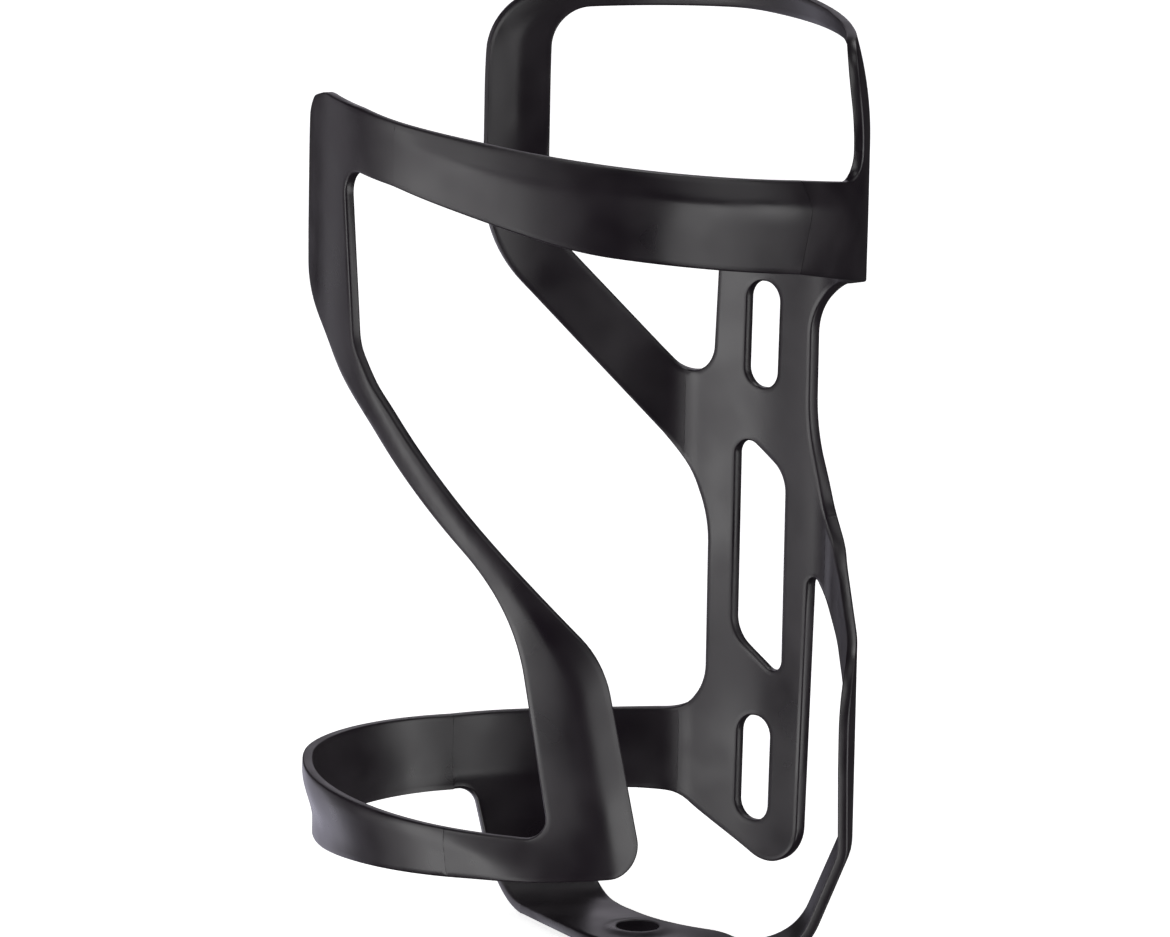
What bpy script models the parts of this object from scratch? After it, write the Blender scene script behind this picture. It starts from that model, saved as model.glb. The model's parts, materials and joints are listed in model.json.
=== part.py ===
"""Side-entry water bottle cage: thin moulded members, laid out flat, cut at their joints and wrapped round the bottle.

Metres, +Z up. The origin lies midway between the two bolt slots on the back face of the spine, which stands on the
bicycle's frame tube, the bottle's axis is vertical in front of it, towards -Y, and +X is the rail's side.
"""

import math

import bmesh
import bpy
from mathutils import Vector

MM = 0.001

# The bottle and the section that the members follow round it
BOTTLE_RADIUS = 37.45 * MM  # inside face of the bands
WALL = 1.5 * MM
RIM = 0.35 * MM  # chamfer round every edge
SPINE_STANDOFF = 3.25 * MM  # bottle to the front face of the spine
SPINE_FLAT = 10.5 * MM  # half width of the flat behind the bottle
BEND_RADIUS = 8.0 * MM  # from that flat into the side members
BOND_GAP = 0.3 * MM  # bond line between two members

# Spine: bolt slots, window and outline
SLOT_PITCH = 64.0 * MM
SLOT_LENGTH = 15.4 * MM
SLOT_WIDTH = 5.9 * MM
SLOT_CORNER = 2.8 * MM
WINDOW_WIDTH = 9.0 * MM
WINDOW_HEIGHT = 36.7 * MM
WINDOW_SLANT = 6.0 * MM
WINDOW_SHIFT = 0.3 * MM  # to the right of the slots' line
WINDOW_SHARP = 2.0 * MM  # fillet of its two sharp corners
WINDOW_BLUNT = 5.0 * MM
SPINE_WIDTH = 17.6 * MM
SPINE_TIP = 49.2 * MM  # below the origin, where the slanted lower edge would meet the right edge
SPINE_TOP = 46.8 * MM
SPINE_TAPER = 1.0 * MM  # left edge drawn in at the top
SPINE_SPREAD = 0.6 * MM  # right edge let out above the tip
SPINE_FILLET = 5.0 * MM
SPINE_TIP_FILLET = 6.0 * MM
SPINE_SEAM = 13.5 * MM  # side members are bonded on at this distance from the middle

# Diagonal arm and the hoop above it
ARM_LOW = 7.0 * MM  # lower edge of the arm where it meets the spine
ARM_HIGH = 19.2 * MM
ARM_SLOPE = 1.06
ARM_CROTCH_FILLET = 5.0 * MM
ARM_ROOT_FILLET = 17.0 * MM
ARM_HEEL_FILLET = 21.0 * MM
ARM_POST_FILLET = 12.0 * MM
POST_INNER = math.radians(47.2)
LEFT_POST_OUTER = math.radians(61.6)
RIGHT_POST_OUTER = math.radians(65.3)
LEFT_POST_SEAM = 52.5 * MM
RIGHT_POST_SEAM = 66.0 * MM
HOOP_SHOULDER = 80.2 * MM
HOOP_RISE = 4.4 * MM  # middle of the bar above its shoulders
HOOP_BAR = 4.5 * MM  # height of the bar at its middle
HOOP_BAR_DROP = 1.5 * MM  # underside of the bar below the shoulder, at its ends
HOOP_BAR_END = math.radians(30.0)
HOOP_ARCH = 80.0 * MM  # radius of the bar's upper edge at its middle
HOOP_FILLET = 8.5 * MM
HOOP_INNER_FILLET = 6.5 * MM
HOOP_LEAN_START = 66.0 * MM
HOOP_LEAN = 3.46 * MM  # inward lean at the top
POST_FILLET = 3.0 * MM
POST_INNER_FILLET = 4.0 * MM

# Upper band, from the spine's right side round the front to the ear
BAND_ROOT = 39.9 * MM  # lower edge of the band on the spine
BAND_REAR_TOP = 60.3 * MM  # upper edge behind the right post
BAND_SEAM = math.radians(90.0)
BAND_SEAM_LOW = 50.8 * MM
BAND_SEAM_HIGH = 64.3 * MM
BAND_ROOT_FILLET = 7.0 * MM
BAND_MID = math.radians(142.5)
BAND_MID_LOW = 56.4 * MM  # lower edge a little right of the front
BAND_MID_ARCH = 80.0 * MM
BAND_END_LOW = 64.9 * MM
BAND_END_DIP = 1.1 * MM  # lower edge falls this much as it leaves the ear
BAND_END_RUN = 9.5 * MM
BAND_END_ARCH = 20.0 * MM
BAND_END_HIGH = 74.2 * MM

# Front strip: ear, strut and corner panel, measured along the arc from the front
EAR_INNER = 13.6 * MM
EAR_OUTER = 35.3 * MM
EAR_SHOULDER = 68.6 * MM
EAR_HEEL = 46.0 * MM
EAR_PEAK = 6.3 * MM  # highest point, beyond its inner edge
EAR_PEAK_FILLET = 8.0 * MM
EAR_SHOULDER_FILLET = 9.0 * MM
EAR_HEEL_FILLET = 6.0 * MM
EAR_CORNER = 3.2 * MM  # fillet between the ear and the band
EAR_TAPER = 1.4 * MM  # inner edge drawn in at the strut
EAR_BAND = 10.0 * MM  # joint with the band, before its inner edge
STRUT_HIGH = 41.0 * MM  # upper edge of the strut at the ear
STRUT_LOW = 39.8 * MM  # lower edge of the strut at the ear
STRUT_WIDTH = 5.7 * MM  # along the arc at the ear
STRUT_FILLET = 25.0 * MM
STRUT_KNEE = 3.0 * MM
STRUT_SEAM_RUN = 6.0 * MM  # joint with the ear, from the strut's upper corner
STRUT_SEAM_FALL = 9.0 * MM
PANEL_OUTER = 34.4 * MM
PANEL_INNER = 22.0 * MM
PANEL_TOP = -0.2 * MM
PANEL_LEAN = 5.3 * MM
PANEL_NECK = 6.7 * MM
PANEL_NECK_SHIFT = 5.2 * MM  # inner edge let out at the neck
PANEL_NECK_FILLET = 30.0 * MM
PANEL_TOP_FILLET = 15.0 * MM
PANEL_CORNER = 4.5 * MM
PANEL_CROTCH_FILLET = 3.0 * MM
PANEL_SEAM_RISE = 2.5 * MM  # joint with the strut, above the neck

# Lower band
LOWER_HIGH = -25.2 * MM
LOWER_REAR_HIGH = -25.4 * MM
LOWER_REAR_LOW = -36.3 * MM
LOWER_FRONT_LOW = -30.3 * MM
LOWER_SIDE_LOW = -32.7 * MM  # lower edge at the front left
LOWER_SIDE_REACH = 21.0 * MM
LOWER_SIDE_ARCH = 60.0 * MM
LOWER_CREST = -23.1 * MM
LOWER_CREST_SHIFT = 2.0 * MM
LOWER_CREST_ARCH = 45.0 * MM
LOWER_ROOT_FILLET = 7.0 * MM
LOWER_SEAM = math.radians(170.0)
SIDE_SEAM = math.radians(232.0)
LOWER_REAR_SEAM = 48.0 * MM  # from the middle of the spine, round the left side
LOWER_TUCK = 2.8 * MM  # lower edge drawn in on the left

# Rail on the right and the foot below the bottle
RAIL_OUTER = 46.9 * MM
RAIL_INNER = 32.0 * MM
RAIL_HIGH = -2.0 * MM
RAIL_LOW = -13.5 * MM
RAIL_CROTCH = -0.2 * MM
RAIL_CROTCH_FILLET = 1.2 * MM
RAIL_GAP = 7.0 * MM  # the gap below the rail widens to this at half its height
RAIL_GAP_FILLET = 6.0 * MM
RAIL_INNER_FILLET = 5.0 * MM
RAIL_CORNER = 9.0 * MM
RAIL_FALL = 1.5 * MM  # upper edge falls this much to the corner
RAIL_HIGH_FILLET = 25.0 * MM
RAIL_BOW = 5.0 * MM  # the outer edge starts to turn in this far below the joint
RAIL_BOW_FILLET = 20.0 * MM
RAIL_SEAM = -17.0 * MM
FOOT_BEND = -34.5 * MM
FOOT_HEIGHT = -51.5 * MM
FOOT_INSET = 6.6 * MM
FOOT_UPPER_RADIUS = 5.0 * MM
FOOT_LOWER_RADIUS = 5.0 * MM
FOOT_SEAM = -41.5 * MM
STRAP_OUTER = 42.6 * MM
STRAP_INNER = 27.5 * MM
STRAP_FOOT = 26.8 * MM  # its inner edge where it meets the plate
STRAP_END = 40.4 * MM  # its outer edge there
STRAP_ROOT = 46.4 * MM
STRAP_ROOT_FILLET = 7.0 * MM
STRAP_WAIST = 3.0 * MM  # narrowest point below the joint
STRAP_FILLET = 9.0 * MM
STRAP_INNER_DROP = 0.5 * MM
STRAP_INNER_FILLET = 4.0 * MM
SPINE_FOOT_DROP = 1.4 * MM
SPINE_FOOT_FILLET = 10.0 * MM
RISER_INNER = 29.6 * MM
RISER_OUTER = 42.4 * MM
FOOT_NEAR = 5.0 * MM  # from the bottle's axis to the near edge of the foot
FOOT_FAR = 20.0 * MM
FOOT_HOLE = 6.5 * MM
FOOT_HOLE_REACH = 14.4 * MM
FOOT_WAIST = 6.0 * MM  # half width of the straight part of its far edge
FOOT_NEAR_FILLET = 14.0 * MM
FOOT_FAR_FILLET = 8.0 * MM

ARC_STEP = math.radians(14.0)
BEND_STEP = math.radians(6.0)

# Values that follow from the sizes above
RADIUS = BOTTLE_RADIUS + WALL / 2
SPINE_REACH = BOTTLE_RADIUS + SPINE_STANDOFF + WALL / 2  # bottle's axis to the middle of the spine's wall
AXIS_Y = -(SPINE_REACH + WALL / 2)
HOOP_TOP = HOOP_SHOULDER + HOOP_RISE
TANGENT = math.atan2(SPINE_FLAT, SPINE_REACH - BEND_RADIUS) + math.acos(
    (RADIUS - BEND_RADIUS) / math.hypot(SPINE_FLAT, SPINE_REACH - BEND_RADIUS)
)
BEND_END = SPINE_FLAT + BEND_RADIUS * TANGENT
STRAIGHT = (SPINE_REACH - BEND_RADIUS) * math.sin(TANGENT) - SPINE_FLAT * math.cos(TANGENT)
ROUND_START = BEND_END + STRAIGHT
FOOT_SLOPE = math.atan2(FOOT_INSET, FOOT_BEND - FOOT_HEIGHT)
UPPER_REACH = FOOT_UPPER_RADIUS * math.tan(FOOT_SLOPE / 2)
LOWER_REACH = FOOT_LOWER_RADIUS * math.tan((math.pi / 2 - FOOT_SLOPE) / 2)
FOOT_RUN = math.hypot(FOOT_INSET, FOOT_BEND - FOOT_HEIGHT) - UPPER_REACH - LOWER_REACH
REAR_SEAM = 2 * math.pi - TANGENT - (LOWER_REAR_SEAM - ROUND_START) / RADIUS
PROFILE_START = FOOT_BEND + UPPER_REACH
PROFILE_RUN = PROFILE_START - FOOT_UPPER_RADIUS * FOOT_SLOPE
PROFILE_TURN = PROFILE_RUN - FOOT_RUN
PROFILE_END = PROFILE_TURN - FOOT_LOWER_RADIUS * (math.pi / 2 - FOOT_SLOPE)


def smooth(share):
    share = min(max(share, 0.0), 1.0)
    return share * share * (3 - 2 * share)


def along(angle):
    """Flat coordinate, from the middle of the spine, of an angle round the bottle."""
    return ROUND_START + (angle - TANGENT) * RADIUS


def front_arc(angle):
    """Flat coordinate, from the front of the bottle, of an angle round it."""
    return (angle - math.pi) * RADIUS


def section(flat):
    """Plan of the spine and its side members: point about the bottle's axis and the way the wall faces."""
    side = math.copysign(1.0, flat)
    run = abs(flat)
    if run <= SPINE_FLAT:
        x, y, facing = run, SPINE_REACH, 0.0
    elif run <= BEND_END:
        facing = (run - SPINE_FLAT) / BEND_RADIUS
        x = SPINE_FLAT + BEND_RADIUS * math.sin(facing)
        y = SPINE_REACH - BEND_RADIUS * (1 - math.cos(facing))
    elif run <= ROUND_START:
        facing = TANGENT
        x = SPINE_FLAT + BEND_RADIUS * math.sin(TANGENT) + (run - BEND_END) * math.cos(TANGENT)
        y = SPINE_REACH - BEND_RADIUS * (1 - math.cos(TANGENT)) - (run - BEND_END) * math.sin(TANGENT)
    else:
        facing = TANGENT + (run - ROUND_START) / RADIUS
        x, y = RADIUS * math.sin(facing), RADIUS * math.cos(facing)
    return side * x, y, side * facing


def foot_profile(height):
    """How far in, at what height and at what tilt a strap runs, going down its length."""
    if height >= PROFILE_START:
        return 0.0, height, 0.0
    if height >= PROFILE_RUN:
        tilt = (PROFILE_START - height) / FOOT_UPPER_RADIUS
        return (
            FOOT_UPPER_RADIUS * (1 - math.cos(tilt)),
            PROFILE_START - FOOT_UPPER_RADIUS * math.sin(tilt),
            tilt,
        )
    start_in = FOOT_UPPER_RADIUS * (1 - math.cos(FOOT_SLOPE))
    start_height = PROFILE_START - FOOT_UPPER_RADIUS * math.sin(FOOT_SLOPE)
    run = min(PROFILE_RUN - height, FOOT_RUN)
    inward = start_in + run * math.sin(FOOT_SLOPE)
    level = start_height - run * math.cos(FOOT_SLOPE)
    tilt = FOOT_SLOPE
    if height < PROFILE_TURN:
        tilt = min(FOOT_SLOPE + (PROFILE_TURN - height) / FOOT_LOWER_RADIUS, math.pi / 2)
        inward += FOOT_LOWER_RADIUS * (math.cos(FOOT_SLOPE) - math.cos(tilt))
        level -= FOOT_LOWER_RADIUS * (math.sin(tilt) - math.sin(FOOT_SLOPE))
    return inward, level, tilt


def wrap_frame(flat, height, out):
    """Place on the spine's section, with the straps turned in below the bottle."""
    x, y, facing = section(flat)
    share = smooth((abs(flat) - SPINE_SEAM) / (STRAP_INNER - SPINE_SEAM))
    inward, level, tilt = foot_profile(height)
    inward *= share
    tilt *= share
    level = height + (level - height) * share
    reach = out * math.cos(tilt) - inward
    return Vector(
        (
            x + reach * math.sin(facing),
            AXIS_Y + y + reach * math.cos(facing),
            level - out * math.sin(tilt),
        )
    )


def wrap_round(angle, height, reach):
    return Vector((reach * math.sin(angle), AXIS_Y + reach * math.cos(angle), height))


def wrap_front(flat, height, out):
    """Place on the bottle's cylinder, measured from the front, the lower band's lower edge drawn in on the left."""
    angle = math.pi + flat / RADIUS
    inward = 0.0
    if height < LOWER_HIGH:
        swell = max(0.0, math.cos((angle - SIDE_SEAM) * 1.5))
        rear = smooth((angle - SIDE_SEAM) / (REAR_SEAM - SIDE_SEAM))
        inward = LOWER_TUCK * swell * (LOWER_HIGH - height) / (LOWER_HIGH - LOWER_REAR_LOW)
        inward += rear * foot_profile(height)[0]
    return wrap_round(angle, height, RADIUS + out - inward)


def wrap_hoop(flat, height, out):
    """Place on the bottle's cylinder, measured from the back, leaning in towards the top."""
    lean = HOOP_LEAN * (max(0.0, height - HOOP_LEAN_START) / (HOOP_TOP - HOOP_LEAN_START)) ** 2
    return wrap_round(flat / RADIUS, height, RADIUS + out - lean)


def rounded(corners):
    """Outline through the corners (across, up, radius), each turned by an arc."""
    points = []
    for i, (across, up, radius) in enumerate(corners):
        corner = Vector((across, up))
        before = Vector(corners[i - 1][:2]) - corner
        after = Vector(corners[(i + 1) % len(corners)][:2]) - corner
        turn = math.pi - before.angle(after)
        if radius == 0 or turn < 1e-4:
            points.append(corner)
            continue
        reach = min(radius * math.tan(turn / 2), 0.85 * before.length, 0.85 * after.length)
        radius = reach / math.tan(turn / 2)
        middle = corner + (before.normalized() + after.normalized()).normalized() * (
            radius / math.cos(turn / 2)
        )
        spoke = corner + before.normalized() * reach - middle
        side = math.copysign(1.0, before.cross(after))
        count = max(2, math.ceil(turn / ARC_STEP))
        for k in range(count + 1):
            swing = -side * turn * k / count
            points.append(
                middle
                + Vector(
                    (
                        spoke.x * math.cos(swing) - spoke.y * math.sin(swing),
                        spoke.x * math.sin(swing) + spoke.y * math.cos(swing),
                    )
                )
            )
    return points


def area(points):
    return sum(a.cross(b) for a, b in zip(points, points[1:] + points[:1])) / 2


def blank(name, outline, holes=()):
    """Flat sheet of the wall's thickness with chamfered rims, as a mesh in the outline's plane."""
    curve = bpy.data.curves.new(name, "CURVE")
    curve.dimensions = "2D"
    curve.fill_mode = "BOTH"
    curve.extrude = WALL / 2 - RIM
    curve.bevel_depth = RIM
    curve.bevel_resolution = 0
    curve.offset = -RIM
    for i, loop in enumerate([outline, *holes]):
        points = rounded(loop)
        if (area(points) > 0) == (i > 0):
            points.reverse()
        spline = curve.splines.new("POLY")
        spline.points.add(len(points) - 1)
        spline.use_cyclic_u = True
        for slot, point in zip(spline.points, points):
            slot.co = (point.x, point.y, 0.0, 1.0)
    holder = bpy.data.objects.new(name, curve)
    bpy.context.scene.collection.objects.link(holder)
    mesh = bpy.data.meshes.new_from_object(holder.evaluated_get(bpy.context.evaluated_depsgraph_get()))
    bpy.data.objects.remove(holder)
    return mesh


def trim(shape, point, away):
    """Cuts off what lies beyond a line through the point, less half the bond line, and closes the end."""
    away = Vector((*away, 0.0)).normalized()
    start = Vector((*point, 0.0)) - away * BOND_GAP / 2
    geometry = shape.verts[:] + shape.edges[:] + shape.faces[:]
    cut = bmesh.ops.bisect_plane(
        shape, geom=geometry, dist=1e-7, plane_co=start, plane_no=away, clear_outer=True
    )
    edges = [item for item in cut["geom_cut"] if isinstance(item, bmesh.types.BMEdge)]
    bmesh.ops.holes_fill(shape, edges=edges, sides=0)


def keep_nearest(shape, seed):
    """Leaves only the connected body that comes nearest to the seed."""
    seed = Vector((*seed, 0.0))
    first = min(shape.verts, key=lambda vert: (vert.co - seed).length)
    body = {first}
    front = [first]
    while front:
        vert = front.pop()
        for edge in vert.link_edges:
            other = edge.other_vert(vert)
            if other not in body:
                body.add(other)
                front.append(other)
    bmesh.ops.delete(shape, geom=[vert for vert in shape.verts if vert not in body], context="VERTS")


def crease(shape, direction, places):
    """Adds lines across the sheet, so that it can bend there."""
    normal = Vector((*direction, 0.0))
    for place in places:
        geometry = shape.verts[:] + shape.edges[:] + shape.faces[:]
        bmesh.ops.bisect_plane(shape, geom=geometry, dist=1e-6, plane_co=normal * place, plane_no=normal)


def spread(shape, axis, low, high, step):
    """Evenly spaced places along one axis of the sheet, within these limits and clear of its ends."""
    values = [vert.co[axis] for vert in shape.verts]
    low = max(low, min(values))
    high = min(high, max(values))
    if high - low < step / 4:
        return []
    count = math.ceil((high - low) / step)
    return [low + (high - low) * k / count for k in range(1, count)]


def finish(name, shape, wrap, colour):
    """Wraps the flat piece to its place and makes it an object with its own material."""
    for vert in shape.verts:
        vert.co = wrap(vert.co.x, vert.co.y, vert.co.z)
    bmesh.ops.recalc_face_normals(shape, faces=shape.faces[:])
    if shape.calc_volume(signed=True) < 0:
        bmesh.ops.reverse_faces(shape, faces=shape.faces[:])
    mesh = bpy.data.meshes.new(name)
    shape.to_mesh(mesh)
    shape.free()
    piece = bpy.data.objects.new(name, mesh)
    cage.objects.link(piece)
    material = bpy.data.materials.new(name)
    material.use_nodes = True
    shader = material.node_tree.nodes["Principled BSDF"]
    shader.inputs["Base Color"].default_value = (*colour, 1.0)
    shader.inputs["Roughness"].default_value = 0.42
    shader.inputs["Metallic"].default_value = 0.0
    mesh.materials.append(material)


def cut_piece(name, sheet, cuts, seed, wrap, round_from, colour, profile=False):
    """One member: the sheet trimmed at its joints, creased where it bends and wrapped."""
    shape = bmesh.new()
    shape.from_mesh(sheet)
    bmesh.ops.remove_doubles(shape, verts=shape.verts[:], dist=1e-7)
    for point, away in cuts:
        trim(shape, point, away)
    keep_nearest(shape, seed)
    arc = BEND_STEP * RADIUS
    if round_from is None:
        crease(shape, (1, 0), spread(shape, 0, -1.0, 1.0, arc))
    else:
        bend = [SPINE_FLAT + BEND_RADIUS * TANGENT * k / 4 for k in range(5)]
        places = [side * place for place in bend + [ROUND_START] for side in (-1, 1)]
        crease(shape, (1, 0), places)
        crease(shape, (1, 0), spread(shape, 0, ROUND_START, 1.0, arc))
        crease(shape, (1, 0), spread(shape, 0, -1.0, -ROUND_START, arc))
    if profile:
        upper = [PROFILE_START + (PROFILE_RUN - PROFILE_START) * k / 3 for k in range(4)]
        lower = [PROFILE_TURN + (PROFILE_END - PROFILE_TURN) * k / 5 for k in range(5)]
        crease(shape, (0, 1), upper + lower)
    finish(name, shape, wrap, colour)


def frame_sheet():
    """Spine with the roots of every member that leaves it, flat."""
    half = SPINE_WIDTH / 2
    left_post = along(LEFT_POST_OUTER)
    right_post = along(RIGHT_POST_OUTER)
    inner = along(POST_INNER)
    seam = along(BAND_SEAM)
    arm_top = ARM_HIGH + (inner - half) * ARM_SLOPE
    arm_foot = ARM_LOW + (left_post - half) * ARM_SLOPE
    rise = (BAND_SEAM_HIGH - BAND_REAR_TOP) / (seam - inner)
    outline = [
        (seam, BAND_SEAM_HIGH, 0),
        (right_post, BAND_SEAM_HIGH - (seam - right_post) * rise, POST_FILLET),
        (right_post, RIGHT_POST_SEAM + BOND_GAP, 0),
        (inner, RIGHT_POST_SEAM + BOND_GAP, 0),
        (inner, BAND_REAR_TOP, POST_INNER_FILLET),
        (-half + SPINE_TAPER, SPINE_TOP, SPINE_FILLET),
        (-half, ARM_HIGH, ARM_CROTCH_FILLET),
        (-inner, arm_top, ARM_POST_FILLET),
        (-inner, LEFT_POST_SEAM + BOND_GAP, 0),
        (-left_post, LEFT_POST_SEAM + BOND_GAP, 0),
        (-left_post, arm_foot, ARM_HEEL_FILLET),
        (-half, ARM_LOW, ARM_ROOT_FILLET),
        (-half, LOWER_REAR_HIGH, LOWER_ROOT_FILLET),
        (-LOWER_REAR_SEAM - BOND_GAP, LOWER_REAR_HIGH, 0),
        (-LOWER_REAR_SEAM - BOND_GAP, LOWER_REAR_LOW, 0),
        (-STRAP_ROOT, LOWER_REAR_LOW, STRAP_ROOT_FILLET),
        (-STRAP_OUTER, FOOT_SEAM - STRAP_WAIST, STRAP_FILLET),
        (-STRAP_END, PROFILE_END - BOND_GAP, 0),
        (-STRAP_FOOT, PROFILE_END - BOND_GAP, 0),
        (-STRAP_INNER, LOWER_REAR_LOW - STRAP_INNER_DROP, STRAP_INNER_FILLET),
        (-SPINE_SEAM, LOWER_REAR_LOW - SPINE_FOOT_DROP, SPINE_FOOT_FILLET),
        (half, -SPINE_TIP, SPINE_TIP_FILLET),
        (half + SPINE_SPREAD, RAIL_CROTCH, RAIL_CROTCH_FILLET),
        (half + RAIL_GAP, (RAIL_CROTCH + RAIL_LOW) / 2, RAIL_GAP_FILLET),
        (RAIL_INNER, RAIL_LOW, RAIL_INNER_FILLET),
        (RISER_INNER, PROFILE_END - BOND_GAP, 0),
        (RISER_OUTER, PROFILE_END - BOND_GAP, 0),
        (RAIL_OUTER, RAIL_SEAM - RAIL_BOW, RAIL_BOW_FILLET),
        (RAIL_OUTER, RAIL_HIGH - RAIL_FALL, RAIL_CORNER),
        (half + SPINE_SPREAD, RAIL_HIGH, RAIL_HIGH_FILLET),
        (half + SPINE_SPREAD, BAND_ROOT, BAND_ROOT_FILLET),
        (seam, BAND_SEAM_LOW, 0),
    ]
    width = SLOT_WIDTH / 2
    length = SLOT_LENGTH / 2
    holes = []
    for middle in (SLOT_PITCH / 2, -SLOT_PITCH / 2):
        corners = [(-width, -length), (width, -length), (width, length), (-width, length)]
        holes.append([(x, middle + z, min(SLOT_CORNER, 0.98 * width)) for x, z in corners])
    width = WINDOW_WIDTH / 2
    high = WINDOW_HEIGHT / 2
    low = high - WINDOW_SLANT
    holes.append(
        [
            (WINDOW_SHIFT - width, high, WINDOW_SHARP),
            (WINDOW_SHIFT + width, low, WINDOW_BLUNT),
            (WINDOW_SHIFT + width, -high, WINDOW_SHARP),
            (WINDOW_SHIFT - width, -low, WINDOW_BLUNT),
        ]
    )
    return blank("frame", outline, holes)


def front_sheet():
    """Upper band, ear, strut, corner panel and lower band, flat."""
    seam = front_arc(BAND_SEAM)
    rear = front_arc(REAR_SEAM)
    outline = [
        (seam, BAND_SEAM_HIGH, 0),
        (EAR_INNER + EAR_PEAK, BAND_END_HIGH, EAR_PEAK_FILLET),
        (EAR_OUTER, EAR_SHOULDER, EAR_SHOULDER_FILLET),
        (EAR_OUTER, EAR_HEEL, EAR_HEEL_FILLET),
        (EAR_INNER + STRUT_WIDTH, STRUT_LOW, STRUT_FILLET),
        (-PANEL_INNER + PANEL_NECK_SHIFT, PANEL_NECK, PANEL_NECK_FILLET),
        (-PANEL_INNER, LOWER_HIGH, PANEL_CROTCH_FILLET),
        (front_arc(SIDE_SEAM) + LOWER_CREST_SHIFT, LOWER_CREST, LOWER_CREST_ARCH),
        (rear + BOND_GAP, LOWER_REAR_HIGH, 0),
        (rear + BOND_GAP, LOWER_REAR_LOW, 0),
        (LOWER_SIDE_REACH, LOWER_SIDE_LOW, LOWER_SIDE_ARCH),
        (-PANEL_OUTER, LOWER_FRONT_LOW, PANEL_CORNER),
        (-PANEL_OUTER + PANEL_LEAN, PANEL_TOP, PANEL_TOP_FILLET),
        (EAR_INNER - EAR_TAPER, STRUT_HIGH, STRUT_KNEE),
        (EAR_INNER, BAND_END_LOW, EAR_CORNER),
        (EAR_INNER - BAND_END_RUN, BAND_END_LOW - BAND_END_DIP, BAND_END_ARCH),
        (front_arc(BAND_MID), BAND_MID_LOW, BAND_MID_ARCH),
        (seam, BAND_SEAM_LOW, 0),
    ]
    return blank("front", outline)


def hoop_sheet():
    """Two posts and the bar across the top, flat."""
    left = -LEFT_POST_OUTER * RADIUS
    right = RIGHT_POST_OUTER * RADIUS
    inner = POST_INNER * RADIUS
    under = HOOP_SHOULDER - HOOP_BAR_DROP
    outline = [
        (left, LEFT_POST_SEAM - BOND_GAP, 0),
        (left, HOOP_SHOULDER, HOOP_FILLET),
        (0, HOOP_TOP, HOOP_ARCH),
        (right, HOOP_SHOULDER, HOOP_FILLET),
        (right, RIGHT_POST_SEAM - BOND_GAP, 0),
        (inner, RIGHT_POST_SEAM - BOND_GAP, 0),
        (inner, under, HOOP_INNER_FILLET),
        (0, HOOP_TOP - HOOP_BAR, HOOP_ARCH + HOOP_BAR),
        (-inner, under, HOOP_INNER_FILLET),
        (-inner, LEFT_POST_SEAM - BOND_GAP, 0),
    ]
    return blank("hoop", outline)


def foot_sheet():
    """Plate below the bottle with its hole, between the ends of the two straps."""
    ends = [
        (RISER_OUTER, 1),
        (RISER_INNER, 1),
        (STRAP_FOOT, -1),
        (STRAP_END, -1),
    ]
    corners = [wrap_frame(side * flat, PROFILE_END - BOND_GAP, 0.0) for flat, side in ends]
    right_near, right_far, left_far, left_near = [(point.x, point.y, 0) for point in corners]
    near = AXIS_Y + FOOT_NEAR
    far = AXIS_Y + FOOT_FAR
    outline = [
        left_near,
        (0.0, near, FOOT_NEAR_FILLET),
        right_near,
        right_far,
        (FOOT_WAIST, far, FOOT_FAR_FILLET),
        (-FOOT_WAIST, far, FOOT_FAR_FILLET),
        left_far,
    ]
    middle = AXIS_Y + FOOT_HOLE_REACH
    half = FOOT_HOLE / 2
    corners = [(-half, -half), (half, -half), (half, half), (-half, half)]
    hole = [(x, middle + y, 0.98 * half) for x, y in corners]
    return blank("foot", outline, [hole])


def wrap_foot(across, deep, out):
    return Vector((across, deep, FOOT_HEIGHT - out))


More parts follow.
